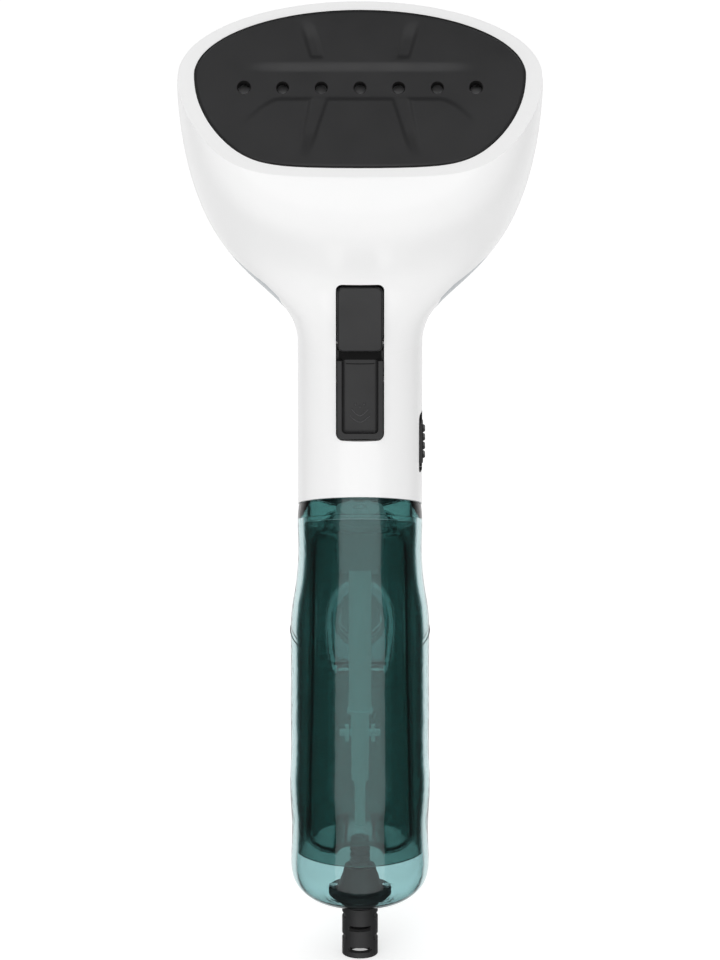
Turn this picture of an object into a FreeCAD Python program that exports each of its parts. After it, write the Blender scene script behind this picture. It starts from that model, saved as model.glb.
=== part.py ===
import FreeCAD, Part
import math
import os

# Handheld garment steamer. Millimetres, +Z up along the grip, front (plate side) towards -Y.
# The origin is the centre of the cord guard's lower end.

V = FreeCAD.Vector

# ---- driving sizes ----
GUARD_LENGTH = 22.0       # cord guard below the tank
TANK_LENGTH = 153.0       # tank bottom to the slanted joint, on the centre line
GRIP_LENGTH = 63.0        # slanted joint to the neck, on the centre line
HEAD_RISE = 79.0          # neck to the plate's lower edge
GRIP_WIDTH = 45.0
GRIP_DEPTH = 46.0
TANK_WIDTH = 50.6
TANK_BACK = 26.0          # tank's back face behind the centre line
TANK_FRONT_BULGE = 0.8    # tank's front face ahead of the grip's
SPLIT_SLOPE = 24.0        # degrees, higher at the front
WALL = 2.4                # housing wall
SHELL_WALL = 2.2          # transparent shell wall
SPLIT_GAP = 0.15          # shadow line between housing and shell
COLLAR_THICK = 0.75       # the shell's collar inside the housing
COLLAR_GAP = 0.15
COLLAR_HEIGHT = 5.0       # collar above the joint
COLLAR_ROOT = 6.0         # collar below the joint
PART_LINE = 3.0           # plane between front and rear housing, behind the centre line
BOTTOM_ROUND = 13.0
FLARE_DEPTH = 53.0        # joint down to where the tank has its full width
LINER_GAP = 0.15          # shell to the liner inside it
LINER_WALL = 1.2
LINER_DROP = 8.0          # liner's top edge below the slanted joint
LINER_LIFT = 20.0         # liner's bottom edge above the tank bottom

PLATE_WIDTH = 116.4
PLATE_HEIGHT = 57.9
PLATE_THICK = 4.0
PLATE_LEAN = 34.0         # degrees back from upright
PLATE_FOOT_Y = -50.0      # lower edge of the plate's face
PLATE_WIDEST = 34.0       # height of its widest line above the lower edge
PLATE_FLATNESS = 1.22     # how far the lower curve is cut straight
PLATE_PROUD = 0.5
SEAM = 0.45               # seal showing round the plate
RIM_SIDE = 6.4
RIM_TOP = 3.7
RIM_FOOT = 3.8
RIM_EASE = 0.3            # how far the head widens behind its rim
CHEEK_INNER = 20.0        # the rear housing's cheeks, below the head's sides
CHEEK_LOW = 10.0          # above the neck
CHEEK_HEIGHT = 25.0
CHEEK_REACH = 10.5        # forward of the grip's centre line
CHEEK_ROOT = 5.0
HOLE_COUNT = 7
HOLE_EDGE = 17.25         # outer holes to the plate's sides
HOLE_HEIGHT = 29.4
HOLE_R = 2.0
HOLE_MOUTH_R = 2.4

BOILER_EDGE = 9.2         # boiler's sides inside the plate's
BOILER_DEPTH = 11.0
COVER_DEPTH = 9.0
BOILER_SCREW_R = 1.25
ELEMENT_R = 3.2
ELEMENT_EDGE = 22.5       # element's legs inside the boiler's sides
INLET_HEIGHT = 15.0       # boiler's water inlet above the plate's lower edge
SHIELD_THICK = 1.2

TRIGGER_WIDTH = 16.4
TRIGGER_LENGTH = 32.7
TRIGGER_THICK = 4.6
DISH_DEPTH = 1.8
LOCK_LENGTH = 24.0
LOCK_TRAVEL = 3.5
INSERT_RISE = 27.6        # top of the trigger window above the neck
INSERT_GAP = 0.45         # gap beside the trigger and the lock
PIVOT_DEPTH = 8.6         # trigger's pivot behind the grip's front
TRIGGER_PIN_R = 1.2
PIN_CLEARANCE = 0.05
SPRING_DEPTH = 12.0       # spring's seat behind the grip's front
SWITCH_DEPTH = 9.0        # switch's front behind the grip's front

SLIDER_LENGTH = 15.0
SLIDER_DEPTH = 6.0
SLIDER_TRAVEL = 3.0       # each way
SLIDER_Y = -3.5
SLIDER_DROP = 38.0        # slider's centre below the neck
SLIDER_MARGIN = 0.7       # window past the cap's travel

SCREW_R = 1.5
SCREW_HEAD_R = 2.9
SCREW_TIP = -7.0
SCREW_SINK = 4.0          # screw seats behind the parting line
SCREW_EDGE = 24.55        # upper screws inside the head's sides
SCREW_INSET = 7.9         # lower screws inside the grip's sides
POST_R = 3.6

CHAMBER_TOP_GAP = 3.0     # chamber to shell at the sides, at the top
CHAMBER_FOOT_GAP = 3.5    # the same at the foot
CHAMBER_FRONT_GAP = 5.2
CHAMBER_BACK_GAP = 4.8
CHAMBER_WALL = 1.7
CHAMBER_ROUND = 7.5       # top and bottom edges
CHAMBER_CORNER = 11.0     # upright edges
CHAMBER_LIFT = 21.0       # chamber's feet above the tank bottom
CHAMBER_DROP = 7.0        # chamber's top below the slanted joint
ARCH_R = 8.2              # half width of the recess under the chamber
ARCH_RISE = 5.2

COUPLING_R = 8.5
COUPLING_LENGTH = 20.0
COUPLING_RISE = 4.5       # coupling's rim above the chamber's top
SUCTION_R = 4.1
SUCTION_BORE_R = 2.6
SUCTION_LENGTH = 57.0
ADAPTER_R = 3.25
ADAPTER_LENGTH = 15.5
SLEEVE_R = 3.2
SLEEVE_LENGTH = 10.5
PICKUP_R = 2.0
PICKUP_CLEARANCE = 1.2    # pickup tube's end above the recess

FLAP_R = 12.2             # upper round of the flap
FLAP_FOOT = 8.4           # half width at the hinge
FLAP_THICK = 2.0
FLAP_DROP = 50.0          # flap's centre below the slanted joint
HINGE_DROP = 19.0         # hinge line below the flap's centre
FLAP_GAP = 0.4
FILLER_R = 8.4
PLUG_CLEARANCE = 0.3
PLUG_BORE_R = 5.0
PAD_RIM = 2.4             # thick rim round the flap's pocket
PAD_DEPTH = 4.6
FLAP_PIN_R = 0.6
BARREL_R = 1.5            # flap's hinge barrel
PIN_REACH = 3.2           # pin past the barrel's ends

GUARD_R = 6.6
CORD_R = 3.9
FLANGE_R = 11.5
FLANGE_THICK = 1.8
FLANGE_SCREW_X = 9.7
FLANGE_SCREW_R = 1.1
CONE_HEIGHT = 9.0
SLOT_COUNT = 5
SLOT_HEIGHT = 2.0
SLOT_PITCH = 4.2
SLOT_FIRST = 3.05

PUMP_Y = 3.3
PUMP_LENGTH = 53.0
PUMP_RISE = 8.0           # pump's inlet above the slanted joint
PUMP_R = 4.2
PUMP_PORT_R = 2.3
COIL_SIZE = 18.0
COIL_HEIGHT = 22.0
COIL_RISE = 17.0          # coil above the pump's inlet
HOSE_R = 3.0
BOARD_LENGTH = 29.0
BOARD_DROP = 12.0         # board's top below the neck
BOARD_Y = 13.1
LAMP_R = 2.6
LAMP_DROP = 24.0          # lamp below the neck

# ---- levels and places worked out from them ----
TANK_Z = GUARD_LENGTH
SPLIT_Z = TANK_Z + TANK_LENGTH
NECK_Z = SPLIT_Z + GRIP_LENGTH
PLATE_FOOT_Z = NECK_Z + HEAD_RISE
GRIP_FRONT = -GRIP_DEPTH / 2
HEAD_WIDTH = PLATE_WIDTH + 2 * RIM_SIDE
HEAD_PLACE = FreeCAD.Placement(V(0, PLATE_FOOT_Y, PLATE_FOOT_Z),
                               FreeCAD.Rotation(V(1, 0, 0), 90 - PLATE_LEAN))
LEAN_SIN = math.sin(math.radians(PLATE_LEAN))
LEAN_COS = math.cos(math.radians(PLATE_LEAN))
SPLIT_TAN = math.tan(math.radians(SPLIT_SLOPE))
COLLAR_INSET = WALL + COLLAR_GAP + COLLAR_THICK
SCREW_SEAT = PART_LINE + SCREW_SINK

HOLE_PITCH = (PLATE_WIDTH - 2 * HOLE_EDGE) / (HOLE_COUNT - 1)
BOILER_WIDTH = PLATE_WIDTH - 2 * BOILER_EDGE
BOILER_BACK = -PLATE_THICK - BOILER_DEPTH      # these two in the plate's own frame
COVER_BACK = BOILER_BACK - COVER_DEPTH

INSERT_HIGH = NECK_Z + INSERT_RISE
LOCK_HIGH = INSERT_HIGH - 1.2
LOCK_LOW = LOCK_HIGH - LOCK_LENGTH
TRIGGER_HIGH = LOCK_LOW - 0.6
TRIGGER_LOW = TRIGGER_HIGH - TRIGGER_LENGTH
INSERT_LOW = TRIGGER_LOW - 0.9
TRIGGER_PIVOT_Y = GRIP_FRONT + PIVOT_DEPTH
TRIGGER_PIVOT_Z = TRIGGER_HIGH + 1.2
PLUNGER_Z = TRIGGER_LOW + 6.5
SPRING_Z = TRIGGER_LOW + 23.0
SPRING_SEAT_Y = GRIP_FRONT + SPRING_DEPTH
SWITCH_FRONT = GRIP_FRONT + SWITCH_DEPTH
SLIDER_Z = NECK_Z - SLIDER_DROP
SLIDER_HALF = SLIDER_LENGTH / 2 + SLIDER_TRAVEL + SLIDER_MARGIN

PUMP_LOW = SPLIT_Z + PUMP_RISE
PUMP_HIGH = PUMP_LOW + PUMP_LENGTH
COIL_LOW = PUMP_LOW + COIL_RISE
COIL_HIGH = COIL_LOW + COIL_HEIGHT
LAMP_Z = NECK_Z - LAMP_DROP

CHAMBER_LOW = TANK_Z + CHAMBER_LIFT
CHAMBER_HIGH = SPLIT_Z - CHAMBER_DROP
CHAMBER_TOP_WIDTH = GRIP_WIDTH - 2 * (SHELL_WALL + CHAMBER_TOP_GAP)
CHAMBER_FOOT_WIDTH = TANK_WIDTH - 2 * (SHELL_WALL + CHAMBER_FOOT_GAP)
CHAMBER_FRONT = GRIP_DEPTH / 2 - SHELL_WALL - CHAMBER_FRONT_GAP
CHAMBER_BACK = GRIP_DEPTH / 2 - SHELL_WALL - CHAMBER_BACK_GAP
ARCH_HIGH = CHAMBER_LOW + ARCH_RISE
COUPLING_TOP = CHAMBER_HIGH + COUPLING_RISE
COUPLING_LOW = COUPLING_TOP - COUPLING_LENGTH
SUCTION_HIGH = COUPLING_LOW - 0.4
SUCTION_LOW = SUCTION_HIGH - SUCTION_LENGTH
ADAPTER_LOW = SUCTION_LOW - ADAPTER_LENGTH
SLEEVE_LOW = ADAPTER_LOW - SLEEVE_LENGTH
PICKUP_LOW = ARCH_HIGH + CHAMBER_WALL + PICKUP_CLEARANCE

FLAP_Z = SPLIT_Z - FLAP_DROP
HINGE_Y = TANK_BACK - BARREL_R
HINGE_Z = FLAP_Z - HINGE_DROP
FLANGE_LOW = TANK_Z + SHELL_WALL + 0.05
FLANGE_HIGH = FLANGE_LOW + FLANGE_THICK
FAR = 400.0


# ---- helpers ----
def outline(half_width, front, back, flatness, count=32):
    """Points (x, s) of an oval whose front half is cut flat as flatness passes 1."""
    sharp = 10.0
    full = ((flatness ** -sharp) + 1) ** (-1 / sharp)
    points = []
    for i in range(count):
        turn = 2 * math.pi * i / count
        x = half_width * math.sin(turn)
        c = math.cos(turn)
        if c > 1e-6:
            s = -front * (((flatness * c) ** -sharp) + 1) ** (-1 / sharp) / full
        else:
            s = -back * c
        points.append((x, s))
    return points


def closed_curve(points):
    curve = Part.BSplineCurve()
    knots = [float(i) for i in range(len(points) + 1)]
    curve.interpolate(Points=points, Parameters=knots, PeriodicFlag=True)
    return Part.Wire([curve.toShape()])


def slanted_section(front, back, widest, half_width, flatness, inset):
    """Closed curve through (y, z) points front and back, inset on every side."""
    fy, fz = front
    by, bz = back
    length = math.hypot(by - fy, bz - fz)
    uy, uz = (by - fy) / length, (bz - fz) / length
    my, mz = fy + (by - fy) * widest, fz + (bz - fz) * widest
    points = outline(half_width - inset, length * widest - inset,
                     length * (1 - widest) - inset, flatness)
    return closed_curve([V(x, my + uy * s, mz + uz * s) for x, s in points])


def level_section(half_width, front, back, z):
    """Closed curve at height z; front and back are distances from the centre line."""
    return closed_curve([V(x, s, z) for x, s in outline(half_width, front, back, 0.4)])


def box(x0, x1, y0, y1, z0, z1):
    return Part.makeBox(x1 - x0, y1 - y0, z1 - z0, V(x0, y0, z0))


def rod(radius, start, end):
    line = V(*end) - V(*start)
    return Part.makeCylinder(radius, line.Length, V(*start), line)


def ring(outer, inner, start, end):
    return rod(outer, start, end).cut(rod(inner, start, end))


def rounded(shape, radius, wanted):
    """Fillets the edges that wanted(edge) picks."""
    edges = [e for e in shape.Edges if wanted(e)]
    return shape.makeFillet(radius, edges)


def runs_along(edge, axis):
    start, end = edge.Vertexes[0].Point, edge.Vertexes[-1].Point
    line = end - start
    return line.Length > 1e-6 and abs(abs(line.normalize().dot(V(*axis))) - 1) < 1e-4


def plate_shape(grow, low, high, width=PLATE_WIDTH, foot=0.0, top=None):
    """D-shaped prism in the plate's own frame: x across, y up the face, z outwards."""
    top_edge = PLATE_HEIGHT if top is None else top
    widest = PLATE_WIDEST
    points = outline(width / 2 + grow, widest - foot + grow, top_edge - widest + grow,
                     PLATE_FLATNESS, 48)
    wire = closed_curve([V(x, widest + s, low) for x, s in points])
    return Part.Face(wire).extrude(V(0, 0, high - low))


def in_head(shape):
    placed = shape.copy()
    placed.Placement = HEAD_PLACE.multiply(placed.Placement)
    return placed


def head_rod(radius, x, y, low, high):
    return in_head(rod(radius, (x, y, low), (x, y, high)))


def tube(points, radius, bore=0.0):
    """Round bar or tube along straight runs joined by tangent arcs."""
    edges = []
    last = V(*points[0])
    for i in range(1, len(points) - 1):
        a, b, c = V(*points[i - 1]), V(*points[i]), V(*points[i + 1])
        into, out = (a - b), (c - b)
        half = into.getAngle(out) / 2
        reach = 0.45 * min(into.Length, out.Length)
        into.normalize()
        out.normalize()
        start, end = b + into * reach, b + out * reach
        bisector = (into + out).normalize()
        centre = b + bisector * (reach / math.cos(half))
        middle = centre - bisector * (reach * math.tan(half))
        edges.append(Part.LineSegment(last, start).toShape())
        edges.append(Part.Arc(start, middle, end).toShape())
        last = end
    edges.append(Part.LineSegment(last, V(*points[-1])).toShape())
    path = Part.Wire(edges)
    direction = V(*points[1]) - V(*points[0])
    solids = []
    for r in (radius, bore):
        if r > 0:
            circle = Part.Wire([Part.Circle(V(*points[0]), direction, r).toShape()])
            solids.append(path.makePipeShell([circle], True, False))
    return solids[0].cut(solids[1]) if bore > 0 else solids[0]


def save(name, shape):
    solids = shape.Solids
    if not solids:
        raise ValueError(name + " has no solid")
    out = solids[0] if len(solids) == 1 else Part.makeCompound(solids)
    if not out.isValid():
        raise ValueError(name + " isn't valid")
    out.exportStep("parts/" + name + ".step")
    print(name, len(solids), round(out.Volume, 1))


# ---- outer forms ----
def head_sections():
    """Front point, back point, place of the widest line, half width, flatness, rim to neck."""
    rim_low = (PLATE_FOOT_Y - RIM_FOOT * LEAN_SIN + PLATE_PROUD * LEAN_COS,
               PLATE_FOOT_Z - RIM_FOOT * LEAN_COS - PLATE_PROUD * LEAN_SIN)
    rise = PLATE_HEIGHT + RIM_FOOT + RIM_TOP
    rim_high = (rim_low[0] + rise * LEAN_SIN, rim_low[1] + rise * LEAN_COS)
    reach = GRIP_FRONT - rim_low[0]
    drop = rim_low[1] - NECK_Z
    swing = rim_high[0] + GRIP_FRONT
    climb = rim_high[1] - NECK_Z
    grip = GRIP_WIDTH / 2
    spread = HEAD_WIDTH / 2 - grip

    def station(a, b, c, d, widest, wide, flatness):
        return ((GRIP_FRONT - reach * a, NECK_Z + drop * b),
                (-GRIP_FRONT + swing * c, NECK_Z + climb * d),
                widest, grip + spread * wide, flatness)

    return [
        (rim_low, rim_high, (PLATE_WIDEST + RIM_FOOT) / rise, HEAD_WIDTH / 2 - RIM_EASE,
         PLATE_FLATNESS),
        station(0.99, 0.885, 0.59, 0.915, 0.57, 1.0, 1.12),
        station(0.86, 0.735, 0.21, 0.81, 0.55, 0.975, 1.0),
        station(0.60, 0.605, -0.064, 0.655, 0.55, 0.92, 0.85),
        station(0.30, 0.49, -0.167, 0.495, 0.57, 0.83, 0.7),
        station(0.09, 0.39, -0.146, 0.335, 0.6, 0.675, 0.6),
        station(0.015, 0.285, -0.075, 0.195, 0.6, 0.41, 0.55),
        station(0.003, 0.195, -0.04, 0.135, 0.57, 0.21, 0.5),
        station(0.0, 0.105, -0.01, 0.075, 0.52, 0.06, 0.45),
        station(0.0, 0.0, 0.0, 0.0, 0.5, 0.0, 0.4),
    ]


def body_form(inset):
    """Head and grip as one solid, inset by a wall."""
    wires = [slanted_section(*s, inset) for s in head_sections()]
    head = Part.makeLoft(wires, True, False)
    grip_base = level_section(GRIP_WIDTH / 2 - inset, GRIP_DEPTH / 2 - inset,
                              GRIP_DEPTH / 2 - inset, TANK_Z + TANK_LENGTH / 2)
    grip = Part.Face(grip_base).extrude(V(0, 0, NECK_Z - TANK_Z - TANK_LENGTH / 2))
    return head.fuse(grip).removeSplitter()


def tank_stations():
    """Height above the tank bottom, how far the shell has flared, and how far it draws in."""
    stations = []
    for degrees in (0, 18, 36, 54, 72, 90):
        turn = math.radians(degrees)
        stations.append((BOTTOM_ROUND * (1 - math.cos(turn)), 1.0,
                         BOTTOM_ROUND * (1 - math.sin(turn))))
    full = TANK_LENGTH - FLARE_DEPTH
    for share in (0.25, 0.54, 0.83):
        stations.append((BOTTOM_ROUND + (full - BOTTOM_ROUND) * share, 1.0, 0.0))
    for share, flare in ((0.0, 1.0), (0.113, 0.985), (0.226, 0.86), (0.358, 0.5), (0.49, 0.16),
                         (0.604, 0.02), (0.717, 0.0), (0.943, 0.0), (1.358, 0.0)):
        stations.append((full + FLARE_DEPTH * share, flare, 0.0))
    return stations


def tank_form(inset):
    """Outer form of the transparent shell, inset on every side."""
    wires = []
    for rise, flare, draw in tank_stations():
        wide = GRIP_WIDTH / 2 + (TANK_WIDTH - GRIP_WIDTH) / 2 * flare - draw
        front = GRIP_DEPTH / 2 + TANK_FRONT_BULGE * flare - draw
        back = GRIP_DEPTH / 2 + (TANK_BACK - GRIP_DEPTH / 2) * flare - draw
        lift = inset * draw / BOTTOM_ROUND
        trim = inset * (1 - draw / BOTTOM_ROUND)
        wires.append(level_section(wide - trim, front - trim, back - trim,
                                   TANK_Z + rise + lift))
    return Part.makeLoft(wires, True, False)


def tank_layer(outer_inset, inner_inset):
    """Shell-shaped layer between two insets of the tank's outer form."""
    return tank_form(outer_inset).cut(tank_form(inner_inset))


def grip_layer(outer_inset, inner_inset):
    """Oval sleeve round the slanted joint, between two insets of the grip's outer form."""
    half, deep = GRIP_WIDTH / 2, GRIP_DEPTH / 2
    low = SPLIT_Z - 25.0
    outer = level_section(half - outer_inset, deep - outer_inset, deep - outer_inset, low)
    inner = level_section(half - inner_inset, deep - inner_inset, deep - inner_inset, low)
    sleeve = Part.Face(outer).extrude(V(0, 0, 50.0))
    return sleeve.cut(Part.Face(inner).extrude(V(0, 0, 50.0)))


def below_split(offset):
    """Half space below the slanted joint, moved up by offset."""
    points = [V(0, -FAR, -FAR), V(0, FAR, -FAR), V(0, FAR, SPLIT_Z - FAR * SPLIT_TAN + offset),
              V(0, -FAR, SPLIT_Z + FAR * SPLIT_TAN + offset)]
    face = Part.Face(Part.makePolygon(points + [points[0]]))
    face.translate(V(-FAR, 0, 0))
    return face.extrude(V(2 * FAR, 0, 0))


def flap_prism(grow):
    """Prism through the tank's back wall: round above, narrower and straight at the hinge."""
    wide = FLAP_R + grow
    foot = FLAP_FOOT + grow
    low = HINGE_Z - grow
    knee = FLAP_Z - HINGE_DROP * 0.74
    start, end = V(-foot, 0, low), V(foot, 0, low)
    top = Part.Arc(V(-wide, 0, FLAP_Z), V(0, 0, FLAP_Z + wide), V(wide, 0, FLAP_Z)).toShape()
    right = Part.BezierCurve()
    right.setPoles([V(wide, 0, FLAP_Z), V(wide, 0, knee), end])
    left = Part.BezierCurve()
    left.setPoles([start, V(-wide, 0, knee), V(-wide, 0, FLAP_Z)])
    wire = Part.Wire([top, right.toShape(), Part.LineSegment(end, start).toShape(),
                      left.toShape()])
    return Part.Face(wire).extrude(V(0, TANK_BACK + 10, 0))


# ---- housings ----
def plate_pocket():
    """Room behind the rim for plate, seal and boiler."""
    return in_head(plate_shape(SEAM, -7.0, 5.0))


def insert_window():
    wide = TRIGGER_WIDTH / 2 + INSERT_GAP
    high = box(-wide, wide, -FAR, 0, INSERT_LOW, INSERT_HIGH)
    return rounded(high, 2.4, lambda e: runs_along(e, (0, 1, 0)))


def slider_window():
    y0 = SLIDER_Y - SLIDER_DEPTH / 2 - 0.9
    y1 = SLIDER_Y + SLIDER_DEPTH / 2 + 0.9
    window = box(0, FAR, y0, y1, SLIDER_Z - SLIDER_HALF, SLIDER_Z + SLIDER_HALF)
    return rounded(window, 2.0, lambda e: runs_along(e, (1, 0, 0)))


def screw_places():
    """Two screws in the head and two in the grip, as (x, z)."""
    wide, narrow = HEAD_WIDTH / 2 - SCREW_EDGE, GRIP_WIDTH / 2 - SCREW_INSET
    high, low = PLATE_FOOT_Z - 21.0, NECK_Z - 7.0
    return ((-wide, high), (wide, high), (-narrow, low), (narrow, low))


def housing_shell(outer):
    slab = in_head(box(-FAR, FAR, -FAR, FAR, -4.5, FAR))
    cavity = body_form(WALL).cut(slab)
    shell = outer.cut(cavity).cut(plate_pocket())
    for x, z in screw_places():
        start = PLATE_FOOT_Y if z > NECK_Z else SCREW_TIP - 3.0
        post = rod(POST_R, (x, start, z), (x, FAR, z)).common(outer)
        shell = shell.fuse(post)
    return shell.cut(below_split(0)).removeSplitter()


def cheeks():
    """Room of the rear housing's two cheeks, which reach forward under the head's sides."""
    low = NECK_Z + CHEEK_LOW
    side = [(PART_LINE, low), (-CHEEK_ROOT, low + 0.1 * CHEEK_HEIGHT),
            (-CHEEK_REACH, low + 0.34 * CHEEK_HEIGHT), (-CHEEK_REACH, low + 0.54 * CHEEK_HEIGHT),
            (-CHEEK_ROOT, low + 0.86 * CHEEK_HEIGHT), (PART_LINE, low + CHEEK_HEIGHT)]
    wire = Part.makePolygon([V(-FAR, y, z) for y, z in side + side[:1]])
    room = Part.Face(wire).extrude(V(2 * FAR, 0, 0))
    return room.cut(box(-CHEEK_INNER, CHEEK_INNER, -FAR, FAR, 0, 2 * FAR))


def front_housing(shell):
    front = shell.common(box(-FAR, FAR, -FAR, PART_LINE, 0, 2 * FAR)).cut(cheeks())
    front = front.cut(insert_window()).cut(slider_window())
    for x, z in screw_places():
        front = front.cut(rod(SCREW_R, (x, SCREW_TIP, z), (x, PART_LINE, z)))
    return front


def rear_housing(shell):
    rear = shell.common(box(-FAR, FAR, PART_LINE, FAR, 0, 2 * FAR).fuse(cheeks()))
    for x, z in screw_places():
        rear = rear.cut(rod(SCREW_R + 0.2, (x, 0, z), (x, FAR, z)))
        rear = rear.cut(rod(SCREW_HEAD_R + 0.4, (x, SCREW_SEAT, z), (x, FAR, z)))
    lamp = rod(LAMP_R, (0, 0, LAMP_Z), (0, FAR, LAMP_Z))
    return rear.cut(lamp)


def housing_screws():
    screws = []
    for x, z in screw_places():
        shank = rod(SCREW_R, (x, SCREW_TIP + 0.5, z), (x, SCREW_SEAT, z))
        head = rod(SCREW_HEAD_R, (x, SCREW_SEAT, z), (x, SCREW_SEAT + 2.2, z))
        slots = [box(x - 1.8, x + 1.8, SCREW_SEAT + 1.0, FAR, z - 0.35, z + 0.35),
                 box(x - 0.35, x + 0.35, SCREW_SEAT + 1.0, FAR, z - 1.8, z + 1.8)]
        screws.append(shank.fuse(head).cut(slots[0]).cut(slots[1]))
    return Part.makeCompound(screws)


# ---- steam head ----
def steam_plate():
    plate = plate_shape(0, -PLATE_THICK, 0)
    plate = rounded(plate, 0.6, lambda e: e.BoundBox.ZMin > -0.01)
    for x in hole_places():
        plate = plate.cut(rod(HOLE_R, (x, HOLE_HEIGHT, -PLATE_THICK - 1), (x, HOLE_HEIGHT, 1)))
        mouth = Part.makeCone(HOLE_MOUTH_R, HOLE_R, 1.2, V(x, HOLE_HEIGHT, 0), V(0, 0, -1))
        plate = plate.cut(mouth)
    for side in (-1, 1):
        for foot_x, foot_y, head_x, head_y in ((15.5, 41.0, 18.9, 53.0), (19.4, 6.0, 14.6, 24.0),
                                               (38.0, 16.5, 20.5, 22.5)):
            groove = rod(0.7, (side * foot_x, foot_y, 0.35), (side * head_x, head_y, 0.35))
            plate = plate.cut(groove)
    return in_head(plate)


def hole_places():
    middle = (HOLE_COUNT - 1) / 2
    return [(i - middle) * HOLE_PITCH for i in range(HOLE_COUNT)]


def plate_seal():
    band = plate_shape(SEAM, -PLATE_THICK, -PLATE_PROUD - 0.2).cut(
        plate_shape(0, -PLATE_THICK - 1, 1))
    return in_head(band)


def boiler_body(low, high, shrink=0.0):
    return plate_shape(-shrink, low, high, width=BOILER_WIDTH, foot=6.0, top=PLATE_HEIGHT - 5.0)


def element_path():
    """U-shaped path of the heating element in the plate's frame, arc at the top."""
    half = BOILER_WIDTH / 2 - ELEMENT_EDGE
    low, high = 5.0, PLATE_HEIGHT - 17.6
    return [(-half, low, BOILER_BACK), (-half, high, BOILER_BACK),
            (half, high, BOILER_BACK), (half, low, BOILER_BACK)]


def element_channel():
    """The element's room in the boiler, open at the lower side."""
    channel = tube(element_path(), ELEMENT_R)
    for x, y, z in (element_path()[0], element_path()[-1]):
        channel = channel.fuse(rod(ELEMENT_R, (x, y + 1, z), (x, y - 20, z)))
    return channel


def boiler_base():
    base = boiler_body(BOILER_BACK, -PLATE_THICK)
    room = plate_shape(-3.0, -PLATE_THICK - 5.0, -PLATE_THICK + 1, width=BOILER_WIDTH, foot=17.0,
                       top=HOLE_HEIGHT + 9)
    base = base.cut(room.common(box(-FAR, FAR, HOLE_HEIGHT - 6, HOLE_HEIGHT + 6, -FAR, FAR)))
    base = base.cut(element_channel())
    base = base.cut(rod(HOSE_R + 0.1, (0, INLET_HEIGHT, BOILER_BACK - 1),
                        (0, INLET_HEIGHT, BOILER_BACK + 4)))
    base = base.cut(rod(1.4, (0, INLET_HEIGHT, BOILER_BACK),
                        (0, HOLE_HEIGHT - 3, -PLATE_THICK - 3)))
    for x, y in boiler_screw_places():
        base = base.cut(rod(BOILER_SCREW_R, (x, y, BOILER_BACK - 1), (x, y, BOILER_BACK + 7)))
    return in_head(base)


def boiler_cover():
    cover = boiler_body(COVER_BACK, BOILER_BACK, 1.5)
    cover = cover.cut(element_channel())
    cover = cover.cut(rod(HOSE_R + 0.1, (0, INLET_HEIGHT, COVER_BACK - 1),
                          (0, INLET_HEIGHT, BOILER_BACK + 1)))
    for x, y in boiler_screw_places():
        cover = cover.cut(rod(BOILER_SCREW_R + 0.25, (x, y, COVER_BACK - 1),
                              (x, y, BOILER_BACK + 1)))
        cover = cover.cut(rod(3.0, (x, y, COVER_BACK - 1), (x, y, COVER_BACK + 2.5)))
    return in_head(cover)


def boiler_screw_places():
    wide = BOILER_WIDTH / 2 - 9.0
    return ((-wide, 27.0), (wide, 27.0), (-13.5, 48.0), (13.5, 48.0))


def boiler_screws():
    screws = []
    for x, y in boiler_screw_places():
        shank = rod(BOILER_SCREW_R, (x, y, COVER_BACK + 2.5), (x, y, BOILER_BACK + 6.5))
        head = rod(2.6, (x, y, COVER_BACK + 0.4), (x, y, COVER_BACK + 2.5))
        screws.append(in_head(shank.fuse(head)))
    return Part.makeCompound(screws)


def heating_element():
    return in_head(tube(element_path(), ELEMENT_R))


def element_terminals():
    ends = []
    for place in (element_path()[0], element_path()[-1]):
        x, y, z = place
        pin = rod(1.0, (x, y - 6.0, z), (x, y, z))
        tab = box(x - 2.4, x + 2.4, y - 13.0, y - 6.0, z - 0.4, z + 0.4)
        ends.append(in_head(pin.fuse(tab)))
    return Part.makeCompound(ends)


def thermostat():
    """Round thermostat on the boiler's cover, with two tabs."""
    y = HOLE_HEIGHT + 3.6
    can = rod(7.0, (0, y, COVER_BACK - 4), (0, y, COVER_BACK))
    cap = rod(6.2, (0, y, COVER_BACK - 8), (0, y, COVER_BACK - 4))
    shape = can.fuse(cap)
    for x in (-4.0, 4.0):
        shape = shape.fuse(box(x - 1.6, x + 1.6, y - 3, y + 3, COVER_BACK - 12, COVER_BACK - 8))
    return in_head(shape)


def thermal_fuse():
    y = HOLE_HEIGHT - 3.4
    axis = COVER_BACK - 2.0
    body = rod(2.0, (16, y, axis), (30, y, axis))
    leads = rod(0.6, (12, y, axis), (33, y, axis))
    return in_head(body.fuse(leads))


def heat_shield():
    """Sheet behind the boiler, bent forward at its sides."""
    low = COVER_BACK - 14.0
    wide = BOILER_WIDTH / 2 - 13.7
    sheet = box(-wide, wide, 20.0, PLATE_HEIGHT - 12.0, low, low + SHIELD_THICK)
    for x0 in (-wide, wide - SHIELD_THICK):
        leg = box(x0, x0 + SHIELD_THICK, 24.0, PLATE_HEIGHT - 18.0, low, COVER_BACK)
        sheet = sheet.fuse(leg)
    return in_head(sheet.removeSplitter())


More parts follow.
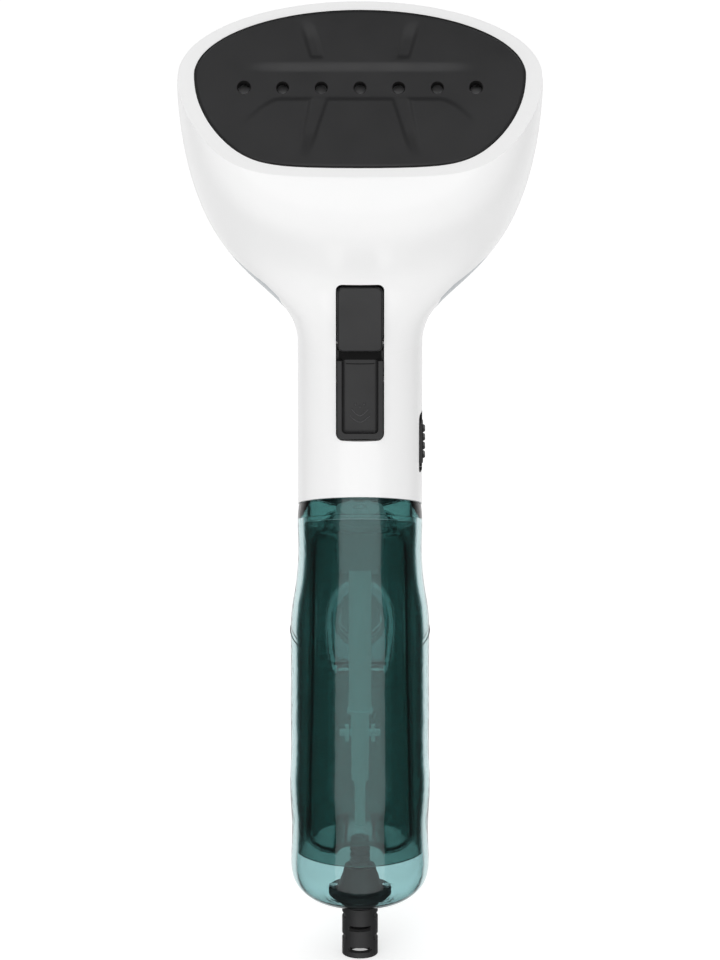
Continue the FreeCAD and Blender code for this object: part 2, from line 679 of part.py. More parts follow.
# ---- trigger group ----
def steam_trigger():
    """Finger lever: dished panel below, barrel on the pivot line above."""
    half = TRIGGER_WIDTH / 2
    face = GRIP_FRONT + 0.1
    body = box(-half, half, face, face + TRIGGER_THICK, TRIGGER_LOW, TRIGGER_HIGH)
    body = rounded(body, 1.6, lambda e: runs_along(e, (0, 1, 0))
                   and e.BoundBox.ZMax < TRIGGER_LOW + 1)
    dish = box(-half + 1.6, half - 1.6, face - 5, face + DISH_DEPTH, TRIGGER_LOW + 2.0,
               TRIGGER_HIGH + 5)
    dish = rounded(dish, DISH_DEPTH - 0.1, lambda e: e.BoundBox.YMin > face + DISH_DEPTH - 0.1
                   or (runs_along(e, (0, 1, 0)) and e.BoundBox.ZMax < TRIGGER_LOW + 3))
    body = body.cut(dish)
    step = box(-half - 1, half + 1, face - 5, GRIP_FRONT + 2.4,
               LOCK_LOW - LOCK_TRAVEL - 0.4, FAR)
    body = body.cut(step)
    arm = box(-half + 2.0, half - 2.0, face + 2.6, TRIGGER_PIVOT_Y, TRIGGER_HIGH - 3,
              TRIGGER_PIVOT_Z)
    barrel = rod(2.5, (-half + 2.0, TRIGGER_PIVOT_Y, TRIGGER_PIVOT_Z),
                 (half - 2.0, TRIGGER_PIVOT_Y, TRIGGER_PIVOT_Z))
    web = box(-1.5, 1.5, face + 4.0, face + 6.0, TRIGGER_LOW + 4, TRIGGER_HIGH - 4)
    body = body.fuse(arm).fuse(barrel).fuse(web)
    bore = rod(TRIGGER_PIN_R + PIN_CLEARANCE, (-half, TRIGGER_PIVOT_Y, TRIGGER_PIVOT_Z),
               (half, TRIGGER_PIVOT_Y, TRIGGER_PIVOT_Z))
    return body.cut(bore).removeSplitter()


def trigger_lock():
    half = TRIGGER_WIDTH / 2 - 0.1
    face = GRIP_FRONT - 1.5
    pad = box(-half, half, face, GRIP_FRONT + 2.0, LOCK_LOW, LOCK_HIGH)
    pad = rounded(pad, 2.2, lambda e: runs_along(e, (0, 1, 0)))
    pad = rounded(pad, 0.8, lambda e: e.BoundBox.YMax < face + 0.01)
    stem = box(-2.4, 2.4, GRIP_FRONT + 2.0, GRIP_FRONT + 7.6, LOCK_HIGH - 11, LOCK_HIGH - 5)
    foot = box(-5.0, 5.0, GRIP_FRONT + 6.6, GRIP_FRONT + 7.6, LOCK_HIGH - 11, LOCK_HIGH - 5)
    return pad.fuse(stem).fuse(foot).removeSplitter()


def trigger_carrier():
    """Liner inside the housing wall that holds the pivot pin and guides the lock."""
    wide, deep = GRIP_WIDTH / 2 - WALL - 0.35, GRIP_DEPTH / 2 - WALL - 0.35
    low, thick = INSERT_LOW - 5.0, 2.4
    height = INSERT_HIGH + 2.0 - low
    outer = level_section(wide, deep, deep, low)
    core = level_section(wide - thick, deep - thick, deep - thick, low)
    liner = Part.Face(outer).extrude(V(0, 0, height))
    liner = liner.cut(Part.Face(core).extrude(V(0, 0, height)))
    liner = liner.common(box(-11.6, 11.6, -FAR, 0, low, INSERT_HIGH + 2.0))
    half = TRIGGER_WIDTH / 2 + INSERT_GAP
    liner = liner.cut(box(-half, half, -FAR, 0, INSERT_LOW, TRIGGER_PIVOT_Z + 3.4))
    liner = liner.cut(box(-2.7, 2.7, -FAR, 0, LOCK_HIGH - 11 - LOCK_TRAVEL - 0.4,
                          LOCK_HIGH - 4.6))
    for side in (-1, 1):
        x0, x1 = sorted((side * (half - 0.1), side * 10.8))
        lug = box(x0, x1, TRIGGER_PIVOT_Y - 2.4, TRIGGER_PIVOT_Y + 2.6,
                  TRIGGER_PIVOT_Z - 2.6, TRIGGER_PIVOT_Z + 2.6)
        liner = liner.fuse(lug)
    bridge = box(-10.8, 10.8, GRIP_FRONT + 6.2, SPRING_SEAT_Y + 1.8, SPRING_Z - 3.2,
                 SPRING_Z + 3.2)
    bridge = bridge.cut(box(-half, half, -FAR, SPRING_SEAT_Y, 0, FAR))
    liner = liner.fuse(bridge)
    bore = rod(TRIGGER_PIN_R, (-FAR, TRIGGER_PIVOT_Y, TRIGGER_PIVOT_Z),
               (FAR, TRIGGER_PIVOT_Y, TRIGGER_PIVOT_Z))
    return liner.cut(bore).removeSplitter()


def trigger_pin():
    return rod(TRIGGER_PIN_R, (-10.6, TRIGGER_PIVOT_Y, TRIGGER_PIVOT_Z),
               (10.6, TRIGGER_PIVOT_Y, TRIGGER_PIVOT_Z))


def trigger_spring():
    """Coil spring from the carrier's bridge to the lever's back."""
    start_y = GRIP_FRONT + 6.8
    length = SPRING_SEAT_Y - start_y - 0.3
    coil = Part.makeHelix(1.6, length, 2.0)
    section = Part.Wire([Part.Circle(V(2.0, 0, 0), V(0, 1, 0), 0.28).toShape()])
    spring = Part.Wire(coil).makePipeShell([section], True, True)
    spring.Placement = FreeCAD.Placement(V(0, start_y, SPRING_Z),
                                         FreeCAD.Rotation(V(1, 0, 0), -90))
    return spring


def microswitch():
    y0 = SWITCH_FRONT
    body = box(-3.2, 3.2, y0, y0 + 6.4, PLUNGER_Z - 7.5, PLUNGER_Z + 12.5)
    for dz in (-5.0, 2.5, 10.0):
        tab = box(-1.6, 1.6, y0 + 6.4, y0 + 7.8, PLUNGER_Z + dz - 0.3, PLUNGER_Z + dz + 0.3)
        body = body.fuse(tab)
    for dz in (-5.2, 10.2):
        body = body.cut(rod(1.1, (-5, y0 + 5.0, PLUNGER_Z + dz), (5, y0 + 5.0, PLUNGER_Z + dz)))
    return body.cut(rod(1.25, (0, y0 - 1, PLUNGER_Z), (0, y0 + 4.6, PLUNGER_Z)))


def switch_plunger():
    tip = rod(1.2, (0, SWITCH_FRONT - 2.6, PLUNGER_Z), (0, SWITCH_FRONT + 1.6, PLUNGER_Z))
    return rounded(tip, 0.5, lambda e: e.BoundBox.YMax < SWITCH_FRONT - 2.4)


# ---- side slider ----
def slider_bezel(outer):
    inner_x = GRIP_WIDTH / 2 - WALL - 1.6
    block = slider_window().common(box(inner_x, FAR, -FAR, FAR, 0, FAR)).common(outer)
    recess = box(GRIP_WIDTH / 2 - 2.0, FAR, SLIDER_Y - SLIDER_DEPTH / 2 - 0.3,
                 SLIDER_Y + SLIDER_DEPTH / 2 + 0.3, SLIDER_Z - SLIDER_HALF + 0.4,
                 SLIDER_Z + SLIDER_HALF - 0.4)
    slot = box(0, FAR, SLIDER_Y - 1.7, SLIDER_Y + 1.7, SLIDER_Z - 2.3 - SLIDER_TRAVEL,
               SLIDER_Z + 2.3 + SLIDER_TRAVEL)
    return block.cut(recess).cut(slot)


def steam_slider():
    x0 = GRIP_WIDTH / 2 - 1.7
    x1 = GRIP_WIDTH / 2 + 0.3
    y0, y1 = SLIDER_Y - SLIDER_DEPTH / 2, SLIDER_Y + SLIDER_DEPTH / 2
    cap = box(x0, x1, y0, y1, SLIDER_Z - SLIDER_LENGTH / 2, SLIDER_Z + SLIDER_LENGTH / 2)
    cap = rounded(cap, 0.6, lambda e: e.BoundBox.XMin > x1 - 0.01)
    for i in range(4):
        z = SLIDER_Z + (i - 1.5) * 3.3
        rib = rod(0.75, (x1, y0 + 0.7, z), (x1, y1 - 0.7, z))
        cap = cap.fuse(rib)
    stem = box(GRIP_WIDTH / 2 - WALL - 3.0, x0, SLIDER_Y - 1.4, SLIDER_Y + 1.4,
               SLIDER_Z - 2.0, SLIDER_Z + 2.0)
    return cap.fuse(stem).removeSplitter()


def slider_switch():
    x1 = GRIP_WIDTH / 2 - WALL - 3.4
    body = box(x1 - 4.6, x1, SLIDER_Y - 3.0, SLIDER_Y + 3.0, SLIDER_Z - 6.5, SLIDER_Z + 6.5)
    for dz in (-4.0, 0.0, 4.0):
        body = body.fuse(box(x1 - 6.0, x1 - 4.6, SLIDER_Y - 1.2, SLIDER_Y + 1.2,
                             SLIDER_Z + dz - 0.3, SLIDER_Z + dz + 0.3))
    return body


# ---- grip internals ----
def pump_body():
    low, high = PUMP_LOW, PUMP_HIGH
    shape = rod(PUMP_R, (0, PUMP_Y, low + 6), (0, PUMP_Y, high - 6))
    shape = shape.fuse(rod(2.3, (0, PUMP_Y, low), (0, PUMP_Y, low + 7)))
    shape = shape.fuse(rod(2.3, (0, PUMP_Y, high - 7), (0, PUMP_Y, high)))
    shape = shape.fuse(rod(5.6, (0, PUMP_Y, high - 12), (0, PUMP_Y, high - 8)))
    shape = shape.cut(rod(3.0, (0, PUMP_Y, low + 8), (0, PUMP_Y, high - 14)))
    return shape.cut(rod(1.2, (0, PUMP_Y, low - 1), (0, PUMP_Y, high + 1)))


def pump_piston():
    low = PUMP_LOW + 14.0
    rod_shape = rod(2.7, (0, PUMP_Y, low), (0, PUMP_Y, low + 16))
    return rod_shape.cut(rod(1.0, (0, PUMP_Y, low - 1), (0, PUMP_Y, low + 17)))


def pump_spring():
    low = PUMP_LOW + 8.4
    height = 5.2
    coil = Part.makeHelix(1.7, height, 2.1)
    section = Part.Wire([Part.Circle(V(2.1, 0, 0), V(0, 1, 0), 0.3).toShape()])
    spring = Part.Wire(coil).makePipeShell([section], True, True)
    spring.translate(V(0, PUMP_Y, low))
    return spring


def pump_coil():
    core = rod(COIL_SIZE / 2 - 1.6, (0, PUMP_Y, COIL_LOW + 1.6), (0, PUMP_Y, COIL_HIGH - 1.6))
    ends = []
    for z in (COIL_LOW, COIL_HIGH - 1.6):
        ends.append(rod(COIL_SIZE / 2 - 0.2, (0, PUMP_Y, z), (0, PUMP_Y, z + 1.6)))
    shape = core.fuse(ends[0]).fuse(ends[1])
    return shape.cut(rod(PUMP_R + 0.05, (0, PUMP_Y, 0), (0, PUMP_Y, FAR)))


def pump_frame():
    half = COIL_SIZE / 2
    outer = box(-half - 1.2, half + 1.2, PUMP_Y - 6, PUMP_Y + 6, COIL_LOW - 1.2, COIL_HIGH + 1.2)
    inner = box(-half, half, PUMP_Y - 7, PUMP_Y + 7, COIL_LOW, COIL_HIGH)
    frame = outer.cut(inner)
    return frame.cut(rod(PUMP_R + 0.05, (0, PUMP_Y, 0), (0, PUMP_Y, FAR)))


def outlet_hose():
    """Silicone hose from the pump to the boiler's inlet."""
    away = HEAD_PLACE.multVec(V(0, INLET_HEIGHT, COVER_BACK - 13.0))
    seat = HEAD_PLACE.multVec(V(0, INLET_HEIGHT, BOILER_BACK + 3.5))
    start = (0, PUMP_Y, PUMP_HIGH - 6.0)
    up = (0, PUMP_Y, PUMP_HIGH + 20.0)
    hose = tube([start, up, tuple(away), tuple(seat)], HOSE_R)
    return hose.cut(rod(PUMP_PORT_R, start, (0, PUMP_Y, PUMP_HIGH)))


def inlet_hose():
    low = SPLIT_Z + 1.6
    hose = rod(HOSE_R + 0.4, (0, PUMP_Y, low + 2.4), (0, PUMP_Y, PUMP_LOW + 5))
    base = rod(HOSE_R + 0.4, (0, 0, low), (0, 0, low + 2.4))
    flat = rod(HOSE_R + 0.4, (0, PUMP_Y, low), (0, PUMP_Y, low + 2.4))
    hose = hose.fuse(flat).fuse(base)
    hose = hose.cut(rod(2.3, (0, PUMP_Y, PUMP_LOW), (0, PUMP_Y, FAR)))
    return hose.cut(rod(1.6, (0, PUMP_Y, low + 1), (0, PUMP_Y, FAR))).removeSplitter()


def hose_clips():
    clips = [ring(HOSE_R + 1.0, HOSE_R, (0, PUMP_Y, PUMP_HIGH - 4.5), (0, PUMP_Y, PUMP_HIGH - 2.5)),
             ring(HOSE_R + 1.4, HOSE_R + 0.4, (0, PUMP_Y, PUMP_LOW + 1), (0, PUMP_Y, PUMP_LOW + 3))]
    return Part.makeCompound(clips)


def control_board():
    back = BOARD_Y + 1.6
    high = NECK_Z - BOARD_DROP
    low = high - BOARD_LENGTH
    board = box(-8.6, 8.6, BOARD_Y, back, low, high)
    for i in range(3):
        z = low + 5.0 + i * 7.5
        board = board.fuse(box(-5.0, -1.0, back, back + 1.4, z, z + 4.0))
    relay = box(1.0, 7.0, back, back + 1.6, low + 3.0, low + 14.0)
    lamp = rod(1.5, (0, back, LAMP_Z), (0, back + 1.6, LAMP_Z))
    return board.fuse(relay).fuse(lamp)


def lamp_lens(outer):
    return rod(LAMP_R, (0, BOARD_Y + 5.3, LAMP_Z), (0, FAR, LAMP_Z)).common(outer)


# ---- tank ----
def lower_shell(outer):
    shell = outer.cut(tank_form(SHELL_WALL))
    pad = flap_prism(PAD_RIM).common(tank_layer(1.0, PAD_DEPTH))
    shell = shell.fuse(pad)
    shell = shell.cut(flap_prism(FLAP_GAP).cut(tank_form(FLAP_THICK + FLAP_GAP)))
    half = FLAP_FOOT + 1.4
    room = BARREL_R + FLAP_GAP
    shell = shell.cut(rod(room, (-half, HINGE_Y, HINGE_Z), (half, HINGE_Y, HINGE_Z)))
    shell = shell.cut(box(-half, half, HINGE_Y, FAR, HINGE_Z - room, HINGE_Z + BARREL_R))
    shell = shell.cut(hinge_rod(FLAP_PIN_R, PIN_REACH))
    shell = shell.cut(rod(FILLER_R, (0, 5, FLAP_Z), (0, FAR, FLAP_Z)))
    shell = shell.common(below_split(-SPLIT_GAP))
    root = grip_layer(SHELL_WALL - 0.8, COLLAR_INSET).common(below_split(-SPLIT_GAP - 0.4))
    tongue = grip_layer(WALL + COLLAR_GAP, COLLAR_INSET).common(below_split(COLLAR_HEIGHT))
    collar = root.fuse(tongue).cut(below_split(-COLLAR_ROOT))
    hole = rod(GUARD_R + 0.1, (0, 0, 0), (0, 0, TANK_Z + SHELL_WALL + 2))
    return shell.fuse(collar).cut(hole).removeSplitter()


def tank_liner():
    """Thin clear sleeve inside the shell, open at both ends and round the filler."""
    outer = SHELL_WALL + LINER_GAP
    sleeve = tank_layer(outer, outer + LINER_WALL)
    sleeve = sleeve.common(below_split(-LINER_DROP))
    sleeve = sleeve.cut(box(-FAR, FAR, -FAR, FAR, 0, TANK_Z + LINER_LIFT))
    return sleeve.cut(flap_prism(PAD_RIM + FLAP_GAP)).removeSplitter()


def hinge_rod(radius, reach):
    """Rod on the flap's hinge line, reaching past the barrel at both ends."""
    half = FLAP_FOOT + reach
    return rod(radius, (-half, HINGE_Y, HINGE_Z), (half, HINGE_Y, HINGE_Z))


def filler_flap(outer):
    panel = flap_prism(0).common(outer).cut(tank_form(FLAP_THICK))
    barrel = hinge_rod(BARREL_R, 0.0)
    spigot = rod(PLUG_BORE_R, (0, TANK_BACK - 6.0, FLAP_Z), (0, TANK_BACK - 1.5, FLAP_Z))
    flap = panel.fuse(barrel).fuse(spigot)
    notch_z = FLAP_Z + FLAP_R + 1.6
    notch = rod(4.0, (0, TANK_BACK - 0.4, notch_z), (0, FAR, notch_z))
    return flap.cut(notch).cut(hinge_rod(FLAP_PIN_R + PIN_CLEARANCE, 1.0)).removeSplitter()


def flap_pin():
    return hinge_rod(FLAP_PIN_R, PIN_REACH)


def filler_plug():
    mouth = FILLER_R - PLUG_CLEARANCE
    cone = Part.makeCone(mouth - 1.0, mouth, 3.4, V(0, TANK_BACK - 6.4, FLAP_Z), V(0, 1, 0))
    cone = cone.fuse(rod(mouth, (0, TANK_BACK - 3.0, FLAP_Z), (0, TANK_BACK, FLAP_Z)))
    cone = cone.common(tank_form(FLAP_THICK))
    return cone.cut(rod(PLUG_BORE_R, (0, TANK_BACK - 6.0, FLAP_Z), (0, FAR, FLAP_Z)))


def filler_seal():
    """Rubber ring between the chamber's neck and the shell."""
    blank = ring(FILLER_R + 1.7, FILLER_R, (0, CHAMBER_BACK + 1.0, FLAP_Z), (0, TANK_BACK, FLAP_Z))
    return blank.common(tank_form(PAD_DEPTH))


def chamber_block(inset):
    """Tapered block with rounded edges, inset on every side."""
    low, high = CHAMBER_LOW + inset, CHAMBER_HIGH - inset
    foot = CHAMBER_FOOT_WIDTH / 2 - inset
    top = CHAMBER_TOP_WIDTH / 2 - inset
    front, back = -CHAMBER_FRONT + inset, CHAMBER_BACK - inset
    points = [V(-foot, front, low), V(foot, front, low), V(top, front, high), V(-top, front, high)]
    face = Part.Face(Part.makePolygon(points + [points[0]]))
    block = face.extrude(V(0, back - front, 0))
    block = rounded(block, CHAMBER_CORNER - inset,
                    lambda e: e.BoundBox.ZMax - e.BoundBox.ZMin > (high - low) / 2)
    ends = [f for f in block.Faces if abs(abs(f.normalAt(0, 0).z) - 1) < 1e-6]
    return block.makeFillet(CHAMBER_ROUND - inset, [e for f in ends for e in f.Edges])


def arch(grow):
    """Rounded tunnel under the chamber, front to back, that clears the cord grip."""
    wide = ARCH_R + grow
    high = ARCH_HIGH + grow
    tunnel = box(-wide, wide, -FAR, FAR, CHAMBER_LOW - 20.0, high)
    return rounded(tunnel, ARCH_R * 0.6,
                   lambda e: runs_along(e, (0, 1, 0)) and e.BoundBox.ZMin > high - 0.01)


def water_tank():
    chamber = chamber_block(0).cut(arch(0))
    room = chamber_block(CHAMBER_WALL).cut(arch(CHAMBER_WALL))
    chamber = chamber.cut(room)
    neck = rod(FILLER_R + 1.7, (0, CHAMBER_BACK - 1.0, FLAP_Z), (0, CHAMBER_BACK + 1.0, FLAP_Z))
    chamber = chamber.fuse(neck)
    chamber = chamber.cut(rod(FILLER_R, (0, CHAMBER_BACK - 5, FLAP_Z), (0, FAR, FLAP_Z)))
    chamber = chamber.cut(rod(COUPLING_R, (0, 0, CHAMBER_HIGH - 5), (0, 0, CHAMBER_HIGH + 5)))
    return chamber.removeSplitter()


def tank_coupling():
    cup = rod(COUPLING_R, (0, 0, COUPLING_LOW), (0, 0, COUPLING_TOP))
    cup = cup.cut(rod(COUPLING_R - 1.6, (0, 0, COUPLING_LOW + 2), (0, 0, COUPLING_TOP + 1)))
    lip = ring(COUPLING_R + 1.4, COUPLING_R, (0, 0, COUPLING_TOP - 4.5), (0, 0, COUPLING_TOP - 3.0))
    spigot = rod(2.6, (0, 0, COUPLING_LOW - 4), (0, 0, COUPLING_TOP + 1.0))
    cup = cup.fuse(lip).fuse(spigot)
    for side in (-1, 1):
        x0, x1 = sorted((side * 4.6, side * 6.6))
        cup = cup.fuse(box(x0, x1, -1.6, 1.6, COUPLING_LOW - 3.4, COUPLING_LOW + 0.5))
    return cup.cut(rod(1.3, (0, 0, COUPLING_LOW - 5), (0, 0, FAR))).removeSplitter()


def coupling_seal():
    torus = Part.makeTorus(3.7, 1.1, V(0, 0, COUPLING_LOW + 12.0))
    return torus.cut(rod(2.6, (0, 0, 0), (0, 0, FAR)))


def suction_tube():
    pipe = ring(SUCTION_R, SUCTION_BORE_R, (0, 0, SUCTION_LOW), (0, 0, SUCTION_HIGH))
    collar = ring(SUCTION_R + 0.6, SUCTION_BORE_R, (0, 0, SUCTION_LOW), (0, 0, SUCTION_LOW + 1.4))
    return pipe.fuse(collar)


def tube_adapter():
    """Stepped tube with two hooked wings at its middle."""
    middle = ADAPTER_LOW + ADAPTER_LENGTH / 2
    body = rod(ADAPTER_R, (0, 0, ADAPTER_LOW), (0, 0, SUCTION_LOW))
    body = body.fuse(rod(SUCTION_BORE_R - 0.05, (0, 0, SUCTION_LOW), (0, 0, SUCTION_LOW + 8)))
    for side in (-1, 1):
        x0, x1 = sorted((side * 2.8, side * 7.4))
        wing = box(x0, x1, -1.0, 1.0, middle - 1.2, middle + 0.8)
        x2, x3 = sorted((side * 4.0, side * 5.4))
        hook = box(x2, x3, -1.0, 1.0, middle - 3.5, middle + 2.7)
        body = body.fuse(wing).fuse(hook)
    return body.cut(rod(1.4, (0, 0, 0), (0, 0, FAR))).removeSplitter()


def tube_sleeve():
    return ring(SLEEVE_R, PICKUP_R, (0, 0, SLEEVE_LOW), (0, 0, ADAPTER_LOW))


def pickup_tube():
    pipe = ring(PICKUP_R, 1.2, (0, 0, PICKUP_LOW), (0, 0, ADAPTER_LOW))
    return pipe.cut(box(-5, 5, -0.7, 0.7, PICKUP_LOW - 1, PICKUP_LOW + 2.0))


# ---- cord end ----
def cord_guard():
    guard = rod(GUARD_R, (0, 0, 0), (0, 0, FLANGE_HIGH))
    guard = guard.fuse(rod(FLANGE_R, (0, 0, FLANGE_LOW), (0, 0, FLANGE_HIGH)))
    cone = Part.makeCone(GUARD_R + 1.4, GUARD_R - 1.0, CONE_HEIGHT, V(0, 0, FLANGE_HIGH),
                         V(0, 0, 1))
    guard = guard.fuse(cone)
    guard = guard.cut(rod(CORD_R, (0, 0, -1), (0, 0, FAR)))
    for i in range(SLOT_COUNT):
        guard = guard.cut(slot_pair(SLOT_FIRST + i * SLOT_PITCH, along_y=(i % 2 == 0)))
    for x in (-FLANGE_SCREW_X, FLANGE_SCREW_X):
        guard = guard.cut(rod(FLANGE_SCREW_R, (x, 0, FLANGE_LOW - 1), (x, 0, FLANGE_HIGH + 1)))
    return guard.removeSplitter()


def slot_pair(z, along_y):
    """Two opposite openings in the guard's wall, with rounded ends."""
    half = GUARD_R * 0.66
    if along_y:
        cut = box(-half, half, -FAR, FAR, z - SLOT_HEIGHT / 2, z + SLOT_HEIGHT / 2)
        cut = rounded(cut, 0.8, lambda e: runs_along(e, (0, 1, 0)))
    else:
        cut = box(-FAR, FAR, -half, half, z - SLOT_HEIGHT / 2, z + SLOT_HEIGHT / 2)
        cut = rounded(cut, 0.8, lambda e: runs_along(e, (1, 0, 0)))
    return cut


def flange_screws():
    screws = []
    for x in (-FLANGE_SCREW_X, FLANGE_SCREW_X):
        head = rod(1.6, (x, 0, FLANGE_HIGH), (x, 0, FLANGE_HIGH + 1.2))
        screws.append(head.fuse(rod(FLANGE_SCREW_R, (x, 0, FLANGE_LOW), (x, 0, FLANGE_HIGH))))
    return Part.makeCompound(screws)


def cord_grip():
    """Ribbed sleeve that the cord is clamped in, above the guard's cone."""
    low = FLANGE_HIGH + CONE_HEIGHT
    grip = rod(2.9, (0, 0, low), (0, 0, low + 10.0))
    for i in range(4):
        z = low + 1.0 + i * 2.5
        grip = grip.fuse(rod(3.7, (0, 0, z), (0, 0, z + 1.1)))
    return grip.cut(rod(2.2, (0, 0, 0), (0, 0, FAR)))


def main():
    os.makedirs("parts", exist_ok=True)
    body = body_form(0)
    shell = housing_shell(body)
    tank = tank_form(0)
    save("front_housing", front_housing(shell))
    save("rear_housing", rear_housing(shell))
    save("slider_bezel", slider_bezel(body))
    save("lamp_lens", lamp_lens(body))
    save("lower_shell", lower_shell(tank))
    save("filler_flap", filler_flap(tank))
    plain = (steam_trigger, housing_screws, steam_plate, plate_seal, boiler_base,
             boiler_cover, boiler_screws,
             heating_element, element_terminals, thermostat, thermal_fuse, heat_shield,
             trigger_lock, trigger_carrier, trigger_pin, trigger_spring, microswitch,
             switch_plunger, steam_slider, slider_switch, pump_body, pump_piston, pump_spring,
             pump_coil, pump_frame, outlet_hose, inlet_hose, hose_clips, control_board,
             tank_liner, flap_pin, filler_plug, filler_seal, water_tank, tank_coupling, coupling_seal,
             suction_tube, tube_adapter, tube_sleeve, pickup_tube, cord_guard, flange_screws,
             cord_grip)
    for make in plain:
        save(make.__name__, make())


main()
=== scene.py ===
import math

import bpy
import bmesh
import numpy as np
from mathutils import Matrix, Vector


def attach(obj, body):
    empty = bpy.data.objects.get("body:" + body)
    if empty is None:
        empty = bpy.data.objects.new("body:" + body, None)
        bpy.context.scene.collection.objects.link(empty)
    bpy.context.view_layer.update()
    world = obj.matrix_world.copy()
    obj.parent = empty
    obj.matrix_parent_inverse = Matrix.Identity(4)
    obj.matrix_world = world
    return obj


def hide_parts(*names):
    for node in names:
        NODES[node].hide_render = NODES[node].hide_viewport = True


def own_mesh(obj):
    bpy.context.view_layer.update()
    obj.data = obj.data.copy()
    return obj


bl_info = {
    "name": "Garment Steamer",
    "version": (1, 0, 0),
    "blender": (4, 5, 0),
    "location": "View3D > Sidebar > Steamer",
    "description": "Dresses the packed garment steamer and sets its studio",
    "category": "Object",
}

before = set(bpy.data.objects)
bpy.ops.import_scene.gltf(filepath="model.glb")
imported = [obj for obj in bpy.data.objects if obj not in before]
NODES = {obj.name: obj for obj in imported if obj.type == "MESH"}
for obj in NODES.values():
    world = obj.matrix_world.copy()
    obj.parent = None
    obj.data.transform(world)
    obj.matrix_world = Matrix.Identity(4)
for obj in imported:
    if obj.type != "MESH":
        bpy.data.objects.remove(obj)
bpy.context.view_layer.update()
MM = 0.001
SECTION_SHARPNESS = 10.0
GRIP_FLATNESS, PLATE_FLATNESS = 0.4, 1.22
GRIP_HALF_WIDTH, GRIP_HALF_DEPTH = 22.5 * MM, 23.0 * MM
JOINT_HEIGHT, JOINT_SLOPE = 175.0 * MM, math.radians(24)
PLATE_LEAN = math.radians(34)
PLATE_FOOT_Y, PLATE_FOOT_Z = -50.0 * MM, 317.0 * MM
PLATE_THICK = 4.0 * MM
HOLE_ROW = 29.4 * MM
DISH_Y = -21.1 * MM
BEAD_TIP = 0.02


def collect(obj, body, replaces=()):
    """Puts a new piece on its body and hides the CAD parts that it replaces."""
    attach(obj, body)
    if replaces:
        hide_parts(*replaces)


def mesh_piece(name, verts, faces, material, smooth_angle=40.0):
    mesh = bpy.data.meshes.new(name)
    mesh.from_pydata([tuple(v) for v in verts], [], faces)
    mesh.validate()
    mesh.materials.append(material)
    obj = bpy.data.objects.new(name, mesh)
    bpy.context.scene.collection.objects.link(obj)
    tidy_normals(obj, smooth_angle)
    return obj


def tidy_normals(obj, smooth_angle):
    """Faces outwards, smooth except across edges sharper than the angle."""
    bm = bmesh.new()
    bm.from_mesh(obj.data)
    bmesh.ops.recalc_face_normals(bm, faces=bm.faces)
    limit = math.radians(smooth_angle)
    for face in bm.faces:
        face.smooth = True
    for edge in bm.edges:
        edge.smooth = not (edge.is_manifold and edge.calc_face_angle(0.0) > limit)
    bm.to_mesh(obj.data)
    bm.free()


def smooth(value, start, end):
    """0 at start, 1 at end, eased; start may be the larger."""
    part = np.clip((value - start) / (end - start), 0.0, 1.0)
    return part * part * (3 - 2 * part)


def stack_faces(rings, sides):
    """Faces of a closed solid made of rings of points, one after another."""
    faces = [(a + i, a + (i + 1) % sides, b + (i + 1) % sides, b + i)
             for a, b in zip(rings, rings[1:]) for i in range(sides)]
    faces.append(tuple(rings[0] + i for i in range(sides)))
    faces.append(tuple(rings[-1] + i for i in range(sides)))
    return faces


def bead(name, points, radius, material, sides=10):
    """Rod along a list of points with rounded ends."""
    points = [Vector(p) for p in points]
    last = len(points) - 1
    spans = [(points[min(i + 1, last)] - points[max(i - 1, 0)]).normalized()
             for i in range(len(points))]

    def cap(end, way, turns):
        return [(points[end] + spans[end] * radius * way * math.sin(math.radians(turn)),
                 spans[end], max(math.cos(math.radians(turn)), BEAD_TIP)) for turn in turns]

    stops = cap(0, -1, (90, 60, 30))
    stops += [(point, span, 1.0) for point, span in zip(points, spans)]
    stops += cap(last, 1, (30, 60, 90))
    verts, rings = [], []
    for place, span, swell in stops:
        side = span.cross(Vector((0, 1, 0))).normalized()
        up = side.cross(span)
        rings.append(len(verts))
        for i in range(sides):
            angle = 2 * math.pi * i / sides
            verts.append(place + (side * math.cos(angle) + up * math.sin(angle))
                         * radius * swell)
    return mesh_piece(name, verts, stack_faces(rings, sides), material)


def section(half_width, front, back, flatness, count):
    """Rounded outline, flatter towards negative y; shared by the grip and the plate."""
    full = (flatness ** -SECTION_SHARPNESS + 1) ** (-1 / SECTION_SHARPNESS)
    ring = []
    for i in range(count):
        turn = 2 * math.pi * i / count
        c = math.cos(turn)
        y = -back * c
        if c > 1e-6:
            flat = (flatness * c) ** -SECTION_SHARPNESS
            y = -front * (flat + 1) ** (-1 / SECTION_SHARPNESS) / full
        ring.append((half_width * math.sin(turn), y))
    return np.array(ring)


def join(name, pieces, material):
    """One object out of several pieces."""
    mesh = bpy.data.meshes.new(name)
    bm = bmesh.new()
    for piece in pieces:
        bm.from_mesh(piece.data)
        bpy.data.objects.remove(piece)
    bm.to_mesh(mesh)
    bm.free()
    mesh.materials.append(material)
    obj = bpy.data.objects.new(name, mesh)
    bpy.context.scene.collection.objects.link(obj)
    return obj


def cut_out(obj, cutter):
    """Cuts one piece out of another for good."""
    cut = obj.modifiers.new("cut", "BOOLEAN")
    cut.operation = "DIFFERENCE"
    cut.solver = "EXACT"
    cut.material_mode = "TRANSFER"
    cut.object = cutter
    bpy.context.view_layer.update()
    graph = bpy.context.evaluated_depsgraph_get()
    mesh = bpy.data.meshes.new_from_object(obj.evaluated_get(graph))
    obj.modifiers.clear()
    obj.data = mesh
    bpy.data.objects.remove(cutter)


def dress(node, material):
    """Gives a carried-over CAD node its finish."""
    obj = NODES[node]
    obj.data.materials.clear()
    obj.data.materials.append(material)


